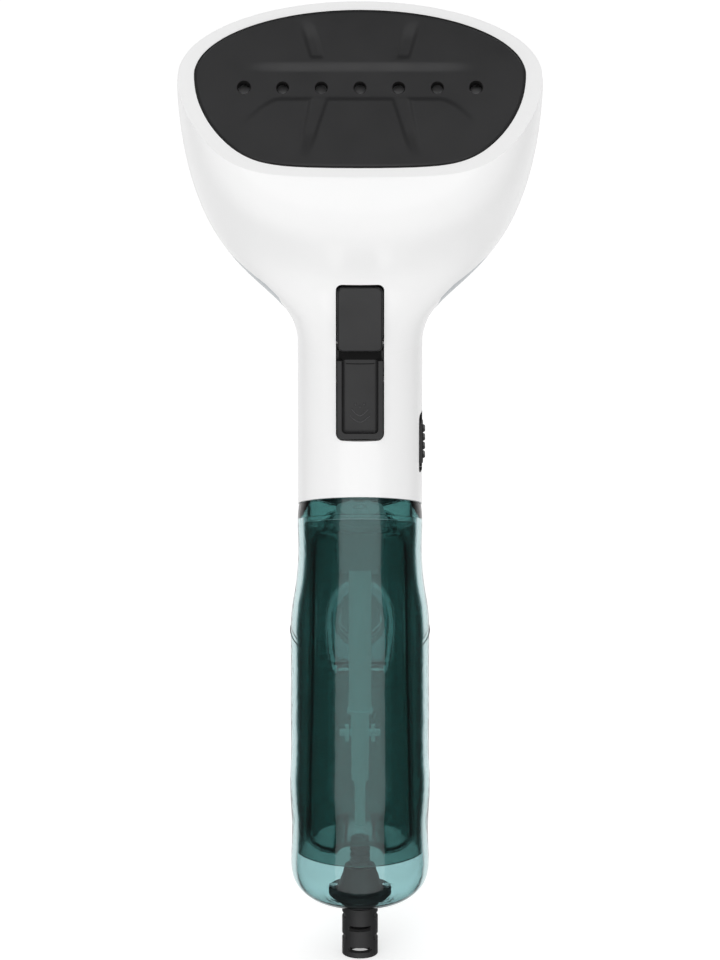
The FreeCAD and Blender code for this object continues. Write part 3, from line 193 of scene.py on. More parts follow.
# ---------------------------------------------------------------- finishes
def new_finish(name):
    material = bpy.data.materials.new(name)
    material.use_nodes = True
    tree = material.node_tree
    shader = tree.nodes["Principled BSDF"]
    return material, tree, shader


def place_coordinates(tree):
    return tree.nodes.new("ShaderNodeTexCoord").outputs["Object"]


def noise(tree, scale, detail=3.0, rough=0.5, stretch=(1, 1, 1)):
    mapping = tree.nodes.new("ShaderNodeMapping")
    mapping.inputs["Scale"].default_value = stretch
    tree.links.new(place_coordinates(tree), mapping.inputs["Vector"])
    pattern = tree.nodes.new("ShaderNodeTexNoise")
    pattern.inputs["Scale"].default_value = scale
    pattern.inputs["Detail"].default_value = detail
    pattern.inputs["Roughness"].default_value = rough
    tree.links.new(mapping.outputs["Vector"], pattern.inputs["Vector"])
    return pattern.outputs["Fac"]


def remap(tree, value, low, high):
    node = tree.nodes.new("ShaderNodeMapRange")
    node.inputs["From Min"].default_value = 0.3
    node.inputs["From Max"].default_value = 0.7
    node.inputs["To Min"].default_value = low
    node.inputs["To Max"].default_value = high
    tree.links.new(value, node.inputs["Value"])
    return node.outputs["Result"]


def colour_between(tree, value, dark, light):
    ramp = tree.nodes.new("ShaderNodeValToRGB")
    ramp.color_ramp.elements[0].position = 0.3
    ramp.color_ramp.elements[1].position = 0.7
    ramp.color_ramp.elements[0].color = (*dark, 1)
    ramp.color_ramp.elements[1].color = (*light, 1)
    tree.links.new(value, ramp.inputs["Fac"])
    return ramp.outputs["Color"]


def bump(tree, shader, height, strength, distance):
    node = tree.nodes.new("ShaderNodeBump")
    node.inputs["Strength"].default_value = strength
    node.inputs["Distance"].default_value = distance
    tree.links.new(height, node.inputs["Height"])
    tree.links.new(node.outputs["Normal"], shader.inputs["Normal"])


def moulded_plastic(name, dark, light, rough_low, rough_high, grain, depth, coat=0.0,
                    specular=0.5):
    """Injection-moulded plastic: slight tone drift, satin spread and a fine skin grain."""
    material, tree, shader = new_finish(name)
    tone = noise(tree, 18.0, 2.0)
    tree.links.new(colour_between(tree, tone, dark, light), shader.inputs["Base Color"])
    spread = noise(tree, 90.0, 4.0)
    tree.links.new(remap(tree, spread, rough_low, rough_high), shader.inputs["Roughness"])
    skin = noise(tree, grain, 2.0)
    bump(tree, shader, skin, 0.35, depth)
    shader.inputs["Coat Weight"].default_value = coat
    shader.inputs["Coat Roughness"].default_value = 0.08
    shader.inputs["Specular IOR Level"].default_value = specular
    return material


def let_lamps_through(tree, shader, shadow_tint):
    """Shadow rays pass the surface tinted instead of stopping there."""
    through = tree.nodes.new("ShaderNodeBsdfTransparent")
    through.inputs["Color"].default_value = (*shadow_tint, 1)
    path = tree.nodes.new("ShaderNodeLightPath")
    mix = tree.nodes.new("ShaderNodeMixShader")
    tree.links.new(path.outputs["Is Shadow Ray"], mix.inputs["Fac"])
    tree.links.new(shader.outputs["BSDF"], mix.inputs[1])
    tree.links.new(through.outputs["BSDF"], mix.inputs[2])
    tree.links.new(mix.outputs["Shader"], tree.nodes["Material Output"].inputs["Surface"])


def clear_plastic(name, tint, shadow_tint, rough_low, rough_high, body=None, density=0.0):
    """Clear moulding with faint flow marks; body is what a thick wall leaves of white."""
    material, tree, shader = new_finish(name)
    shader.inputs["Base Color"].default_value = (*tint, 1)
    shader.inputs["Transmission Weight"].default_value = 1.0
    shader.inputs["IOR"].default_value = 1.49
    flow = noise(tree, 40.0, 1.0, 0.5, (1, 1, 0.3))
    tree.links.new(remap(tree, flow, rough_low, rough_high), shader.inputs["Roughness"])
    let_lamps_through(tree, shader, shadow_tint)
    if body:
        depth = tree.nodes.new("ShaderNodeVolumeAbsorption")
        depth.inputs["Color"].default_value = (*body, 1)
        depth.inputs["Density"].default_value = density
        tree.links.new(depth.outputs["Volume"], tree.nodes["Material Output"].inputs["Volume"])
    return material


def metal(name, dark, light, rough_low, rough_high, grain, depth, stretch=(1, 1, 1)):
    material, tree, shader = new_finish(name)
    shader.inputs["Metallic"].default_value = 1.0
    tone = noise(tree, grain, 4.0, 0.6, stretch)
    tree.links.new(colour_between(tree, tone, dark, light), shader.inputs["Base Color"])
    tree.links.new(remap(tree, tone, rough_low, rough_high), shader.inputs["Roughness"])
    bump(tree, shader, tone, 0.3, depth)
    return material


FINISHES = {}


def make_finishes():
    FINISHES["white_gloss"] = moulded_plastic("white_gloss", (0.91, 0.91, 0.91),
                                              (0.925, 0.925, 0.925), 0.28, 0.34, 900.0,
                                              0.000004, 0.3)
    FINISHES["pale_grey"] = moulded_plastic("pale_grey", (0.50, 0.53, 0.55),
                                            (0.55, 0.58, 0.60), 0.3, 0.38, 900.0, 0.00001, 0.2)
    FINISHES["black_satin"] = moulded_plastic("black_satin", (0.014, 0.014, 0.015),
                                              (0.02, 0.02, 0.021), 0.38, 0.5, 2600.0, 0.00003)
    FINISHES["sign_black"] = moulded_plastic("sign_black", (0.05, 0.05, 0.052),
                                             (0.06, 0.06, 0.062), 0.25, 0.35, 2600.0, 0.00001)
    # Painted shade: near-black, dull finish for the ramp that darkens the trigger's step as its
    # shadow would.
    FINISHES["step_painted_shade"] = moulded_plastic("step_painted_shade", (0.003, 0.003, 0.003),
                                             (0.004, 0.004, 0.004), 0.5, 0.6, 2600.0, 0.00001,
                                             0.0, 0.15)
    FINISHES["guard_black"] = moulded_plastic("guard_black", (0.016, 0.016, 0.017),
                                              (0.03, 0.03, 0.031), 0.5, 0.65, 1800.0, 0.00005)
    # The real black of the seals; the steam holes' walls take it too, as painted shade.
    FINISHES["seal_black_and_hole_shade"] = moulded_plastic("seal_black_and_hole_shade", (0.006, 0.006, 0.006),
                                             (0.01, 0.01, 0.01), 0.6, 0.75, 1500.0, 0.00003)
    FINISHES["plate_coating"] = moulded_plastic("plate_coating", (0.020, 0.020, 0.021),
                                                (0.026, 0.026, 0.027), 0.3, 0.4, 3200.0, 0.00002)
    FINISHES["silicone"] = moulded_plastic("silicone", (0.6, 0.6, 0.57), (0.7, 0.7, 0.67),
                                           0.4, 0.5, 700.0, 0.00003)
    FINISHES["board_green"] = moulded_plastic("board_green", (0.02, 0.16, 0.07),
                                              (0.03, 0.22, 0.1), 0.3, 0.5, 900.0, 0.00003)
    FINISHES["coil_wrap"] = moulded_plastic("coil_wrap", (0.25, 0.07, 0.02), (0.38, 0.12, 0.04),
                                            0.25, 0.4, 700.0, 0.0001)
    FINISHES["fuse_sleeve"] = moulded_plastic("fuse_sleeve", (0.7, 0.68, 0.6), (0.8, 0.78, 0.7),
                                              0.6, 0.8, 1600.0, 0.0001)
    FINISHES["shell_teal"] = clear_plastic("shell_teal", (0.58, 0.77, 0.78),
                                           (0.93, 0.96, 0.96), 0.0, 0.01)
    FINISHES["liner_teal"] = clear_plastic("liner_teal", (0.18, 0.3, 0.285),
                                           (0.9, 0.94, 0.93), 0.0, 0.01)
    FINISHES["chamber_teal"] = clear_plastic("chamber_teal", (1.0, 1.0, 1.0),
                                             (0.93, 0.95, 0.95), 0.0, 0.01,
                                             (0.4, 0.62, 0.6), 90.0)
    FINISHES["frosted_teal_painted_glow"] = moulded_plastic("frosted_teal_painted_glow", (0.5, 0.72, 0.72),
                                               (0.58, 0.82, 0.82), 0.25, 0.4, 900.0, 0.00002)
    FINISHES["milky_teal_painted_glow"] = moulded_plastic("milky_teal_painted_glow", (0.2, 0.31, 0.31),
                                             (0.24, 0.36, 0.36), 0.3, 0.45, 900.0, 0.00002)
    # Painted glow: these teal pieces inside the tank emit light so they look lit through the
    # tinted walls, though they are no lamp.
    for name, strength in (("frosted_teal_painted_glow", 0.42), ("milky_teal_painted_glow", 0.22)):
        glow = FINISHES[name].node_tree.nodes["Principled BSDF"]
        glow.inputs["Emission Color"].default_value = (0.6, 0.85, 0.85, 1)
        glow.inputs["Emission Strength"].default_value = strength
    FINISHES["collar_teal"] = clear_plastic("collar_teal", (0.46, 0.63, 0.61),
                                            (0.9, 0.94, 0.93), 0.0, 0.01)
    # Painted shade: near-black teal for the rods that draw the dark line of the tank's crease.
    FINISHES["crease_painted_shade"] = moulded_plastic("crease_painted_shade", (0.004, 0.014, 0.014),
                                              (0.006, 0.018, 0.018), 0.2, 0.3, 900.0, 0.00001)
    FINISHES["clear_lamp"] = clear_plastic("clear_lamp", (0.8, 0.85, 0.85), (0.85, 0.9, 0.9),
                                           0.1, 0.2)
    FINISHES["cast_aluminium"] = metal("cast_aluminium", (0.5, 0.5, 0.51), (0.62, 0.62, 0.63),
                                       0.35, 0.55, 300.0, 0.0002)
    FINISHES["plated_steel"] = metal("plated_steel", (0.5, 0.5, 0.5), (0.6, 0.6, 0.6),
                                     0.2, 0.35, 400.0, 0.00002, (1, 1, 6))
    FINISHES["turned_brass"] = metal("turned_brass", (0.6, 0.45, 0.2), (0.7, 0.54, 0.26),
                                     0.2, 0.35, 300.0, 0.00003, (0.2, 0.2, 6))


NODE_FINISHES = {
    "white_gloss": ("front_housing",),
    "pale_grey": ("rear_housing",),
    "plate_coating": ("steam_plate",),
    "black_satin": ("steam_trigger", "trigger_lock", "trigger_carrier", "steam_slider",
                    "slider_bezel", "microswitch", "slider_switch", "hose_clips",
                    "switch_plunger"),
    "shell_teal": ("lower_shell", "filler_flap"),
    "liner_teal": ("tank_liner",),
    "chamber_teal": ("water_tank",),
    "frosted_teal_painted_glow": ("suction_tube", "tube_adapter", "tube_sleeve", "pickup_tube"),
    "milky_teal_painted_glow": ("tank_coupling", "filler_plug", "filler_seal"),
    "guard_black": ("cord_guard", "cord_grip"),
    "seal_black_and_hole_shade": ("plate_seal", "coupling_seal"),
    "silicone": ("outlet_hose", "inlet_hose"),
    "cast_aluminium": ("boiler_base", "boiler_cover"),
    "plated_steel": ("boiler_screws", "housing_screws", "flange_screws", "heating_element",
                     "element_terminals", "heat_shield", "trigger_pin", "flap_pin",
                     "trigger_spring", "pump_spring", "pump_frame", "pump_piston",
                     "thermostat"),
    "fuse_sleeve": ("thermal_fuse",),
    "turned_brass": ("pump_body",),
    "coil_wrap": ("pump_coil",),
    "board_green": ("control_board",),
    "clear_lamp": ("lamp_lens",),
}


# ---------------------------------------------------------------- settings
class StudioSettings(bpy.types.PropertyGroup):
    distance: bpy.props.FloatProperty(
        name="Camera distance", description="From the camera to the middle of the steamer",
        default=3.0, min=0.5, unit="LENGTH")
    elevation: bpy.props.FloatProperty(
        name="Camera elevation", description="Angle of the camera above the horizon",
        default=math.radians(18.5), subtype="ANGLE")
    lens: bpy.props.FloatProperty(
        name="Lens", description="Focal length for a 36 mm sensor", default=310.2, min=1.0)
    look_height: bpy.props.FloatProperty(
        name="Aim height", description="Height that the camera aims at", default=0.184,
        unit="LENGTH")
    floor_radius: bpy.props.FloatProperty(
        name="Floor radius", description="Radius of the round floor", default=6.0,
        unit="LENGTH")
    ambient: bpy.props.FloatProperty(
        name="Ambient", description="Light from all round", default=0.64, min=0.0)
    side_flags: bpy.props.FloatProperty(
        name="Side flags", description="Light that reflections see at the sides",
        default=0.06, min=0.0)
    backdrop: bpy.props.FloatProperty(
        name="Backdrop", description="Light that reflections see behind the steamer",
        default=0.9, min=0.0)
    clear_flags: bpy.props.FloatProperty(
        name="Clear flags", description="Light seen to the sides through clear pieces",
        default=0.02, min=0.0)
    card_width: bpy.props.FloatProperty(
        name="Card width", description="Width of the soft card in front", default=2.3,
        unit="LENGTH")
    key_power: bpy.props.FloatProperty(
        name="Key power", description="Power of the key lamp in watts", default=7.5, min=0.0)


class PlateSettings(bpy.types.PropertyGroup):
    half_width: bpy.props.FloatProperty(
        name="Half width", description="Middle to side of the steam plate",
        default=0.0582, unit="LENGTH")
    foot: bpy.props.FloatProperty(
        name="Foot", description="Widest line down to the lower edge", default=0.034,
        unit="LENGTH")
    top: bpy.props.FloatProperty(
        name="Top", description="Widest line up to the upper edge", default=0.0239,
        unit="LENGTH")
    relief: bpy.props.FloatProperty(
        name="Relief", description="Depth of the steam channels in the face", default=0.0005,
        unit="LENGTH")
    hole_pitch: bpy.props.FloatProperty(
        name="Hole pitch", description="Between two steam holes", default=0.01365, unit="LENGTH")
    hole_radius: bpy.props.FloatProperty(
        name="Hole radius", description="Radius of a steam hole", default=0.0021, unit="LENGTH")


class CollarSettings(bpy.types.PropertyGroup):
    inset: bpy.props.FloatProperty(
        name="Inset", description="Outside of the tank to the band", default=0.00255,
        unit="LENGTH")
    wall: bpy.props.FloatProperty(
        name="Wall", description="Thickness of the band", default=0.0012, unit="LENGTH")
    low: bpy.props.FloatProperty(
        name="Low", description="The band's lower edge, from the joint", default=-0.0076,
        unit="LENGTH")
    high: bpy.props.FloatProperty(
        name="High", description="The band's upper edge, from the joint", default=-0.0003,
        unit="LENGTH")


class CreaseSettings(bpy.types.PropertyGroup):
    height: bpy.props.FloatProperty(
        name="Height", description="Height of the crease at the sides", default=0.1266,
        unit="LENGTH")
    line: bpy.props.FloatProperty(
        name="Line radius", description="Radius of the crease line", default=0.00022,
        unit="LENGTH")
    slope: bpy.props.FloatProperty(
        name="Slope", description="How steeply the crease falls to the front",
        default=math.radians(12), subtype="ANGLE")
    half_width: bpy.props.FloatProperty(
        name="Half width", description="Middle to side of the tank there", default=0.02531,
        unit="LENGTH")
    front: bpy.props.FloatProperty(
        name="Front", description="Middle to front of the tank there", default=0.02381,
        unit="LENGTH")
    back: bpy.props.FloatProperty(
        name="Back", description="Middle to back of the tank there", default=0.02601,
        unit="LENGTH")
    inner: bpy.props.FloatProperty(
        name="Inner end", description="Middle to the crease's front end", default=0.0187,
        unit="LENGTH")
    behind: bpy.props.FloatProperty(
        name="Rear end", description="How far behind the middle the crease ends",
        default=0.004, unit="LENGTH")


class SpringSettings(bpy.types.PropertyGroup):
    pump_travel: bpy.props.FloatProperty(
        name="Pump travel", description="How much the pump's spring shortens", default=0.0026,
        unit="LENGTH")
    trigger_travel: bpy.props.FloatProperty(
        name="Trigger travel", description="How much the trigger's spring shortens",
        default=0.0012, unit="LENGTH")


# Size of the near-black ramp that paints the shade on the trigger's step.
class StepSettings(bpy.types.PropertyGroup):
    half_width: bpy.props.FloatProperty(
        name="Half width", description="Middle to side of the dark ramp", default=0.0077,
        unit="LENGTH")
    bow: bpy.props.FloatProperty(
        name="Bow", description="How far the ramp's lower edge bows down", default=0.00035,
        unit="LENGTH")


class IconSettings(bpy.types.PropertyGroup):
    height: bpy.props.FloatProperty(
        name="Height", description="Height of the steam sign's middle", default=0.2166,
        unit="LENGTH")
    line: bpy.props.FloatProperty(
        name="Line radius", description="Radius of the raised lines", default=0.00022,
        unit="LENGTH")


# ---------------------------------------------------------------- operators
class STEAMER_OT_dress_nodes(bpy.types.Operator):
    """Makes the finishes and gives every CAD node its own"""
    bl_idname = "steamer.dress_nodes"
    bl_label = "Dress CAD nodes"

    def execute(self, context):
        make_finishes()
        for finish, nodes in NODE_FINISHES.items():
            for node in nodes:
                dress(node, FINISHES[finish])
        return {"FINISHED"}


def plate_relief(x, h, depth):
    """Channels in the face: a valley along the holes, two grooves above, two below."""
    across = np.abs(x) / MM
    up = h / MM
    fade = smooth(across, 43.0, 27.0)
    edge = 24.6 - 10.0 * np.clip((across - 28.0) / 13.5, 0.0, 2.0) ** 1.7
    valley = fade * smooth(up, edge - 0.2, edge + 1.3) * smooth(up, 39.0, 35.0)

    def slot(low, high, wide_low, wide_high, ease, ends):
        part = np.clip((up - low[1]) / (high[1] - low[1]), 0.0, 1.0)
        middle = low[0] + (high[0] - low[0]) * part
        wide = wide_low + (wide_high - wide_low) * part
        return (smooth(np.abs(across - middle), wide + ease, wide - ease)
                * smooth(up, *ends[0]) * smooth(up, *ends[1]))

    upper = slot((15.3, 40.5), (19.0, 54.0), 2.0, 2.1, 0.6, ((39.8, 41.4), (55.0, 47.0)))
    lower = slot((19.8, 4.0), (14.6, 25.0), 1.6, 3.0, 0.7, ((3.0, 13.0), (31.0, 26.0)))
    return -depth * np.maximum(np.maximum(valley, 0.9 * upper), 0.95 * lower)


def plate_place(x, h, out):
    """From the plate's own frame to the steamer's."""
    up, back = math.cos(PLATE_LEAN), math.sin(PLATE_LEAN)
    return np.stack([x, PLATE_FOOT_Y + back * h - up * out,
                     PLATE_FOOT_Z + up * h + back * out], axis=-1)


class STEAMER_OT_steam_plate(bpy.types.Operator):
    """Steam plate with soft channels round a row of countersunk holes, whose walls are painted
    near-black as shade
    """
    bl_idname = "steamer.steam_plate"
    bl_label = "Steam plate"

    def execute(self, context):
        settings = context.scene.steamer_plate
        count, rings, ease = 320, 84, 0.6 * MM
        rim = section(settings.half_width, settings.foot, settings.top, PLATE_FLATNESS, count)
        rim[:, 1] += settings.foot
        middle = np.array([0.0, 31.0 * MM])
        points, faces = [np.array([[*middle, 0.0]])], []
        for ring in range(1, rings + 1):
            share = ring / rings
            flat = middle + (rim - middle) * share
            inset = np.linalg.norm(rim - flat, axis=1)
            drop = np.where(inset < ease, ease - np.sqrt(np.maximum(
                ease ** 2 - (ease - inset) ** 2, 0.0)), 0.0)
            points.append(np.column_stack([flat, -drop]))
        points.append(np.column_stack([rim, np.full(count, -PLATE_THICK)]))
        flat = np.concatenate(points)
        height = plate_relief(flat[:, 0], flat[:, 1], settings.relief)
        height[-count:] = 0.0
        verts = plate_place(flat[:, 0], flat[:, 1], flat[:, 2] + height)
        for i in range(count):
            after = (i + 1) % count
            faces.append((0, 1 + i, 1 + after))
            for ring in range(rings):
                a = 1 + ring * count
                faces.append((a + i, a + count + i, a + count + after, a + after))
        back = 1 + rings * count
        faces.append(tuple(back + i for i in range(count)))
        plate = mesh_piece("plate_face", verts, faces, FINISHES["plate_coating"], 50.0)
        cutters = []
        for hole in range(-3, 4):
            cutters.append(self.hole_cutter(settings, hole * settings.hole_pitch))
        # The cutters pass their near-black finish to the hole walls: painted shade in the holes.
        cut_out(plate, join("hole_cutters", cutters, FINISHES["seal_black_and_hole_shade"]))
        tidy_normals(plate, 35.0)
        collect(plate, "housing", ("steam_plate",))
        return {"FINISHED"}

    def hole_cutter(self, settings, x):
        sides, verts, rings = 40, [], []
        radius = settings.hole_radius
        for out, wide in ((1.0 * MM, radius + 0.5 * MM), (-0.3 * MM, radius + 0.3 * MM),
                          (-0.9 * MM, radius), (-5.0 * MM, radius)):
            rings.append(len(verts))
            for i in range(sides):
                turn = 2 * math.pi * i / sides
                verts.append(plate_place(np.array(x + wide * math.cos(turn)),
                                         np.array(HOLE_ROW + wide * math.sin(turn)),
                                         np.array(out)))
        return mesh_piece("hole_cutter", verts, stack_faces(rings, sides),
                          FINISHES["seal_black_and_hole_shade"])


class STEAMER_OT_collar_band(bpy.types.Operator):
    """Clear band inside the shell, between the slanted joint and the liner"""
    bl_idname = "steamer.collar_band"
    bl_label = "Collar band"

    def execute(self, context):
        settings = context.scene.steamer_collar
        count, slope = 128, math.tan(JOINT_SLOPE)
        wide = GRIP_HALF_WIDTH - settings.inset
        deep = GRIP_HALF_DEPTH - settings.inset
        rings = []
        for inset, rise in ((0.0, settings.low), (0.0, settings.high),
                            (settings.wall, settings.high), (settings.wall, settings.low)):
            flat = section(wide - inset, deep - inset, deep - inset, GRIP_FLATNESS, count)
            z = JOINT_HEIGHT + rise - flat[:, 1] * slope
            rings.append(np.column_stack([flat, z]))
        faces = []
        for ring in range(4):
            a, b = ring * count, (ring + 1) % 4 * count
            for i in range(count):
                after = (i + 1) % count
                faces.append((a + i, a + after, b + after, b + i))
        band = mesh_piece("collar_band", np.concatenate(rings), faces,
                          FINISHES["collar_teal"], 40.0)
        collect(band, "housing")
        return {"FINISHED"}


class STEAMER_OT_tank_crease(bpy.types.Operator):
    """Near-black rods painted on the tank's sides as the shade of a fine crease, lower at the
    front
    """
    bl_idname = "steamer.tank_crease"
    bl_label = "Tank crease"

    def execute(self, context):
        settings = context.scene.steamer_crease
        ring = section(settings.half_width, settings.front, settings.back, GRIP_FLATNESS, 256)
        slope = math.tan(settings.slope)
        for side, name in ((-1, "crease_left"), (1, "crease_right")):
            line = [Vector((x, y, settings.height + y * slope)) for x, y in ring
                    if x * side > settings.inner and y < settings.behind]
            line.sort(key=lambda point: point.y)
            # Painted shade: a thin near-black rod lies on the clear shell where the crease shows
            # dark.
            crease = bead(name, line, settings.line, FINISHES["crease_painted_shade"])
            collect(crease, "housing")
        return {"FINISHED"}


class STEAMER_OT_trigger_step(bpy.types.Operator):
    """Near-black ramp painted as the shade on the step from the trigger's dish up to the lock"""
    bl_idname = "steamer.trigger_step"
    bl_label = "Trigger step"

    def execute(self, context):
        settings = context.scene.steamer_step
        half, count = settings.half_width, 12
        verts = []
        for z, out, back in ((239.7, -20.63, -20.5), (236.4, -20.9, -20.5),
                             (235.1, -21.15, -21.05)):
            for y in (out, back):
                for i in range(count + 1):
                    x = half * (2 * i / count - 1)
                    bow = settings.bow * (1 - (x / half) ** 2) if z < 236 else 0.0
                    verts.append((x, y * MM, z * MM - bow))
        row, faces = count + 1, []
        for i in range(count):
            for a, b in ((0, 2), (2, 4), (4, 5), (5, 3), (3, 1), (1, 0)):
                faces.append((a * row + i, a * row + i + 1, b * row + i + 1, b * row + i))
        for i in (0, count):
            faces.append(tuple(a * row + i for a in (0, 2, 4, 5, 3, 1)))
        # Painted shade: this ramp sits where the step falls into shadow and is coloured
        # near-black for it.
        step = mesh_piece("painted_shade_step", verts, faces, FINISHES["step_painted_shade"], 30.0)
        collect(step, "trigger")
        return {"FINISHED"}


class STEAMER_OT_springs(bpy.types.Operator):
    """Gives the two return springs, which shorten as their pieces are pressed, their own mesh
    copies
    """
    bl_idname = "steamer.springs"
    bl_label = "Springs"

    def execute(self, context):
        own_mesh(NODES["pump_spring"])
        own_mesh(NODES["trigger_spring"])
        return {"FINISHED"}


class STEAMER_OT_trigger_icon(bpy.types.Operator):
    """Raised steam sign in the trigger's dish"""
    bl_idname = "steamer.trigger_icon"
    bl_label = "Trigger sign"

    def execute(self, context):
        settings = context.scene.steamer_icon
        face, z, line = DISH_Y, settings.height, settings.line
        finish = FINISHES["sign_black"]
        pieces = []
        for side in (-1.6, 0.0, 1.6):
            lift = 3.1 if side else 2.1
            place = (side * MM, face, z + lift * MM)
            pieces.append(bead("dot", [place, (place[0], face, place[2] + 0.05 * MM)],
                               0.42 * MM, finish, 12))
        for half, foot, bend in ((2.9, -1.3, 2.5), (3.4, -3.7, 2.3)):
            curve = []
            for i in range(13):
                share = i / 6 - 1
                curve.append((half * share * MM, face,
                              z + (foot + bend * abs(share) ** 1.4) * MM))
            pieces.append(bead("line", curve, line, finish))
        icon = join("trigger_sign", pieces, finish)
        tidy_normals(icon, 60.0)
        collect(icon, "trigger")
        return {"FINISHED"}


def strength_where(tree, flag, inside, outside):
    """Inside where flag is 1, outside where it is 0; each is a number or a socket."""
    mix = tree.nodes.new("ShaderNodeMix")
    tree.links.new(flag, mix.inputs["Factor"])
    for socket, value in ((mix.inputs["A"], outside), (mix.inputs["B"], inside)):
        if isinstance(value, float):
            socket.default_value = value
        else:
            tree.links.new(value, socket)
    return mix.outputs["Result"]


def studio_world(scene, settings):
    """White surroundings. Reflections and clear pieces see dark flags at the sides."""
    world = bpy.data.worlds.new("studio")
    world.use_nodes = True
    scene.world = world
    tree = world.node_tree
    tree.nodes.clear()
    path = tree.nodes.new("ShaderNodeLightPath")
    towards = tree.nodes.new("ShaderNodeTexCoord")
    split = tree.nodes.new("ShaderNodeSeparateXYZ")
    tree.links.new(towards.outputs["Generated"], split.inputs["Vector"])
    fade = tree.nodes.new("ShaderNodeMapRange")
    fade.inputs["From Min"].default_value = 0.55
    fade.inputs["From Max"].default_value = 0.85
    fade.inputs["To Min"].default_value = settings.side_flags
    fade.inputs["To Max"].default_value = settings.backdrop
    tree.links.new(split.outputs["Y"], fade.inputs["Value"])
    strength = strength_where(tree, path.outputs["Is Glossy Ray"], fade.outputs["Result"],
                              settings.ambient)
    beyond = tree.nodes.new("ShaderNodeMapRange")
    beyond.interpolation_type = "SMOOTHSTEP"
    beyond.inputs["From Min"].default_value = 0.62
    beyond.inputs["From Max"].default_value = 0.8
    beyond.inputs["To Min"].default_value = settings.clear_flags
    beyond.inputs["To Max"].default_value = 1.0
    either = tree.nodes.new("ShaderNodeMath")
    either.operation = "ABSOLUTE"
    tree.links.new(split.outputs["Y"], either.inputs[0])
    tree.links.new(either.outputs["Value"], beyond.inputs["Value"])
    strength = strength_where(tree, path.outputs["Is Transmission Ray"],
                              beyond.outputs["Result"], strength)
    strength = strength_where(tree, path.outputs["Is Camera Ray"], 1.0, strength)
    background = tree.nodes.new("ShaderNodeBackground")
    background.inputs["Color"].default_value = (1, 1, 1, 1)
    tree.links.new(strength, background.inputs["Strength"])
    output = tree.nodes.new("ShaderNodeOutputWorld")
    tree.links.new(background.outputs["Background"], output.inputs["Surface"])


def studio_floor(radius):
    count = 96
    ring = [(radius * math.cos(2 * math.pi * i / count),
             radius * math.sin(2 * math.pi * i / count), 0.0) for i in range(count)]
    material, tree, shader = new_finish("floor_paper")
    grain = noise(tree, 3.0, 2.0)
    tree.links.new(colour_between(tree, grain, (0.9, 0.9, 0.9), (0.92, 0.92, 0.92)),
                   shader.inputs["Base Color"])
    shader.inputs["Roughness"].default_value = 0.9
    shader.inputs["Specular IOR Level"].default_value = 0.0
    shader.inputs["Emission Color"].default_value = (1, 1, 1, 1)
    shader.inputs["Emission Strength"].default_value = 0.45
    floor = mesh_piece("studio_floor", ring, [tuple(range(count))], material)
    floor.visible_glossy = False
    floor.visible_transmission = False


def soft_card(name, place, width, height, strength):
    """Upright glowing card that faces the steamer and shows only in reflections."""
    material, _, shader = new_finish(name)
    shader.inputs["Base Color"].default_value = (0, 0, 0, 1)
    shader.inputs["Emission Color"].default_value = (1, 1, 1, 1)
    shader.inputs["Emission Strength"].default_value = strength
    w, h = width / 2, height / 2
    card = mesh_piece(name, [(-w, -h, 0), (w, -h, 0), (w, h, 0), (-w, h, 0)],
                      [(0, 1, 2, 3)], material)
    card.location = place
    aim = Vector((0, 0, 0.2)) - card.location
    aim.z = 0
    card.rotation_euler = aim.to_track_quat("Z", "Y").to_euler()
    card.visible_camera = False
    card.visible_diffuse = False
    card.visible_transmission = False
    card.visible_shadow = False


def area_lamp(name, place, target, size, power):
    light = bpy.data.lights.new(name, "AREA")
    light.shape = "RECTANGLE"
    light.size, light.size_y = size
    light.energy = power
    lamp = bpy.data.objects.new(name, light)
    bpy.context.scene.collection.objects.link(lamp)
    lamp.location = place
    aim = Vector(target) - Vector(place)
    lamp.rotation_euler = aim.to_track_quat("-Z", "Y").to_euler()
    lamp.visible_camera = False
    lamp.visible_glossy = False
    lamp.visible_transmission = False


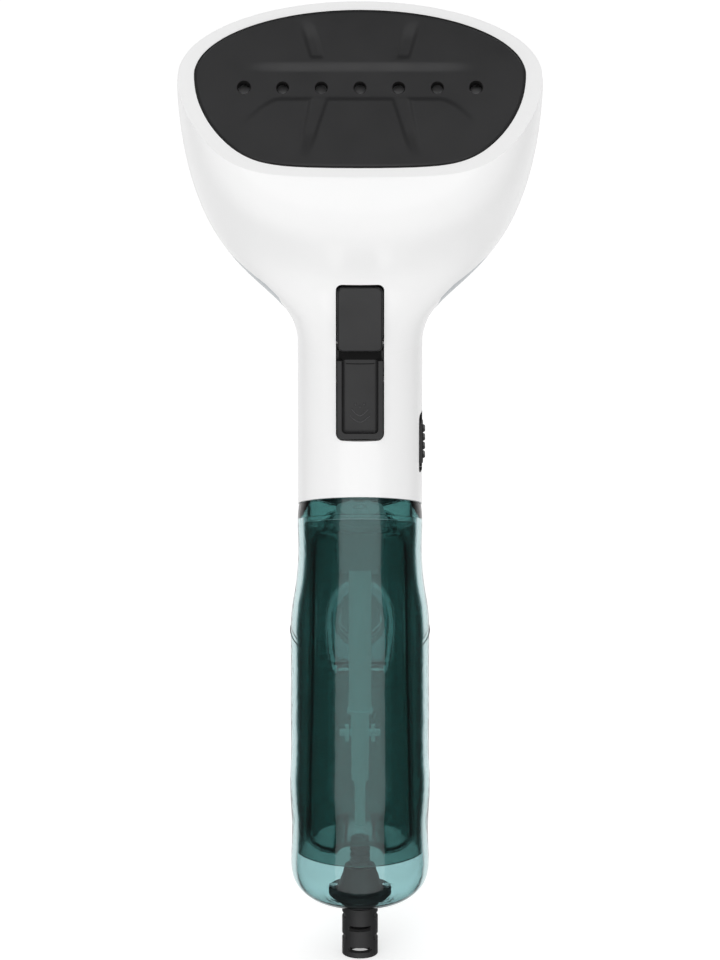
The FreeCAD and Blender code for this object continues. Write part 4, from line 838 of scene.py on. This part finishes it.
class STEAMER_OT_studio(bpy.types.Operator):
    """Sets the pale floor, the soft lights and the camera"""
    bl_idname = "steamer.studio"
    bl_label = "Set the studio"

    def execute(self, context):
        settings = context.scene.steamer_studio
        scene = context.scene
        studio_world(scene, settings)
        studio_floor(settings.floor_radius)
        soft_card("front_card", (0.0, -1.4, 0.2), settings.card_width, 3.0, 1.0)
        area_lamp("key_lamp", (-0.3, -1.4, 1.5), (0, 0, 0.2), (1.2, 0.9),
                  settings.key_power)
        scene.view_settings.view_transform = "Standard"
        scene.view_settings.look = "None"
        scene.cycles.max_bounces = 28
        scene.cycles.transmission_bounces = 28
        scene.cycles.transparent_max_bounces = 28
        camera = bpy.data.cameras.new("studio_camera")
        camera.lens = settings.lens
        camera.sensor_width = 36.0
        camera.clip_end = 50.0
        viewer = bpy.data.objects.new("studio_camera", camera)
        scene.collection.objects.link(viewer)
        rise = settings.elevation
        viewer.location = (0, -settings.distance * math.cos(rise),
                           settings.look_height + settings.distance * math.sin(rise))
        viewer.rotation_euler = (math.radians(90) - rise, 0, 0)
        scene.camera = viewer
        return {"FINISHED"}


class STEAMER_PT_panel(bpy.types.Panel):
    """Lists the steamer's operators"""
    bl_label = "Garment Steamer"
    bl_idname = "STEAMER_PT_panel"
    bl_space_type = "VIEW_3D"
    bl_region_type = "UI"
    bl_category = "Steamer"

    def draw(self, context):
        for operator in OPERATORS:
            self.layout.operator(operator.bl_idname)


SETTINGS = {"steamer_studio": StudioSettings, "steamer_plate": PlateSettings,
            "steamer_icon": IconSettings, "steamer_collar": CollarSettings,
            "steamer_crease": CreaseSettings, "steamer_springs": SpringSettings,
            "steamer_step": StepSettings}
OPERATORS = (STEAMER_OT_dress_nodes, STEAMER_OT_steam_plate, STEAMER_OT_trigger_icon,
             STEAMER_OT_springs, STEAMER_OT_trigger_step, STEAMER_OT_collar_band,
             STEAMER_OT_tank_crease, STEAMER_OT_studio)


def register():
    for name, group in SETTINGS.items():
        bpy.utils.register_class(group)
        setattr(bpy.types.Scene, name, bpy.props.PointerProperty(type=group))
    for operator in OPERATORS:
        bpy.utils.register_class(operator)
    bpy.utils.register_class(STEAMER_PT_panel)


def unregister():
    bpy.utils.unregister_class(STEAMER_PT_panel)
    for operator in reversed(OPERATORS):
        bpy.utils.unregister_class(operator)
    for name, group in SETTINGS.items():
        delattr(bpy.types.Scene, name)
        bpy.utils.unregister_class(group)


def main():
    register()
    for operator in OPERATORS:
        group, call = operator.bl_idname.split(".")
        getattr(getattr(bpy.ops, group), call)()


if __name__ == "__main__":
    main()
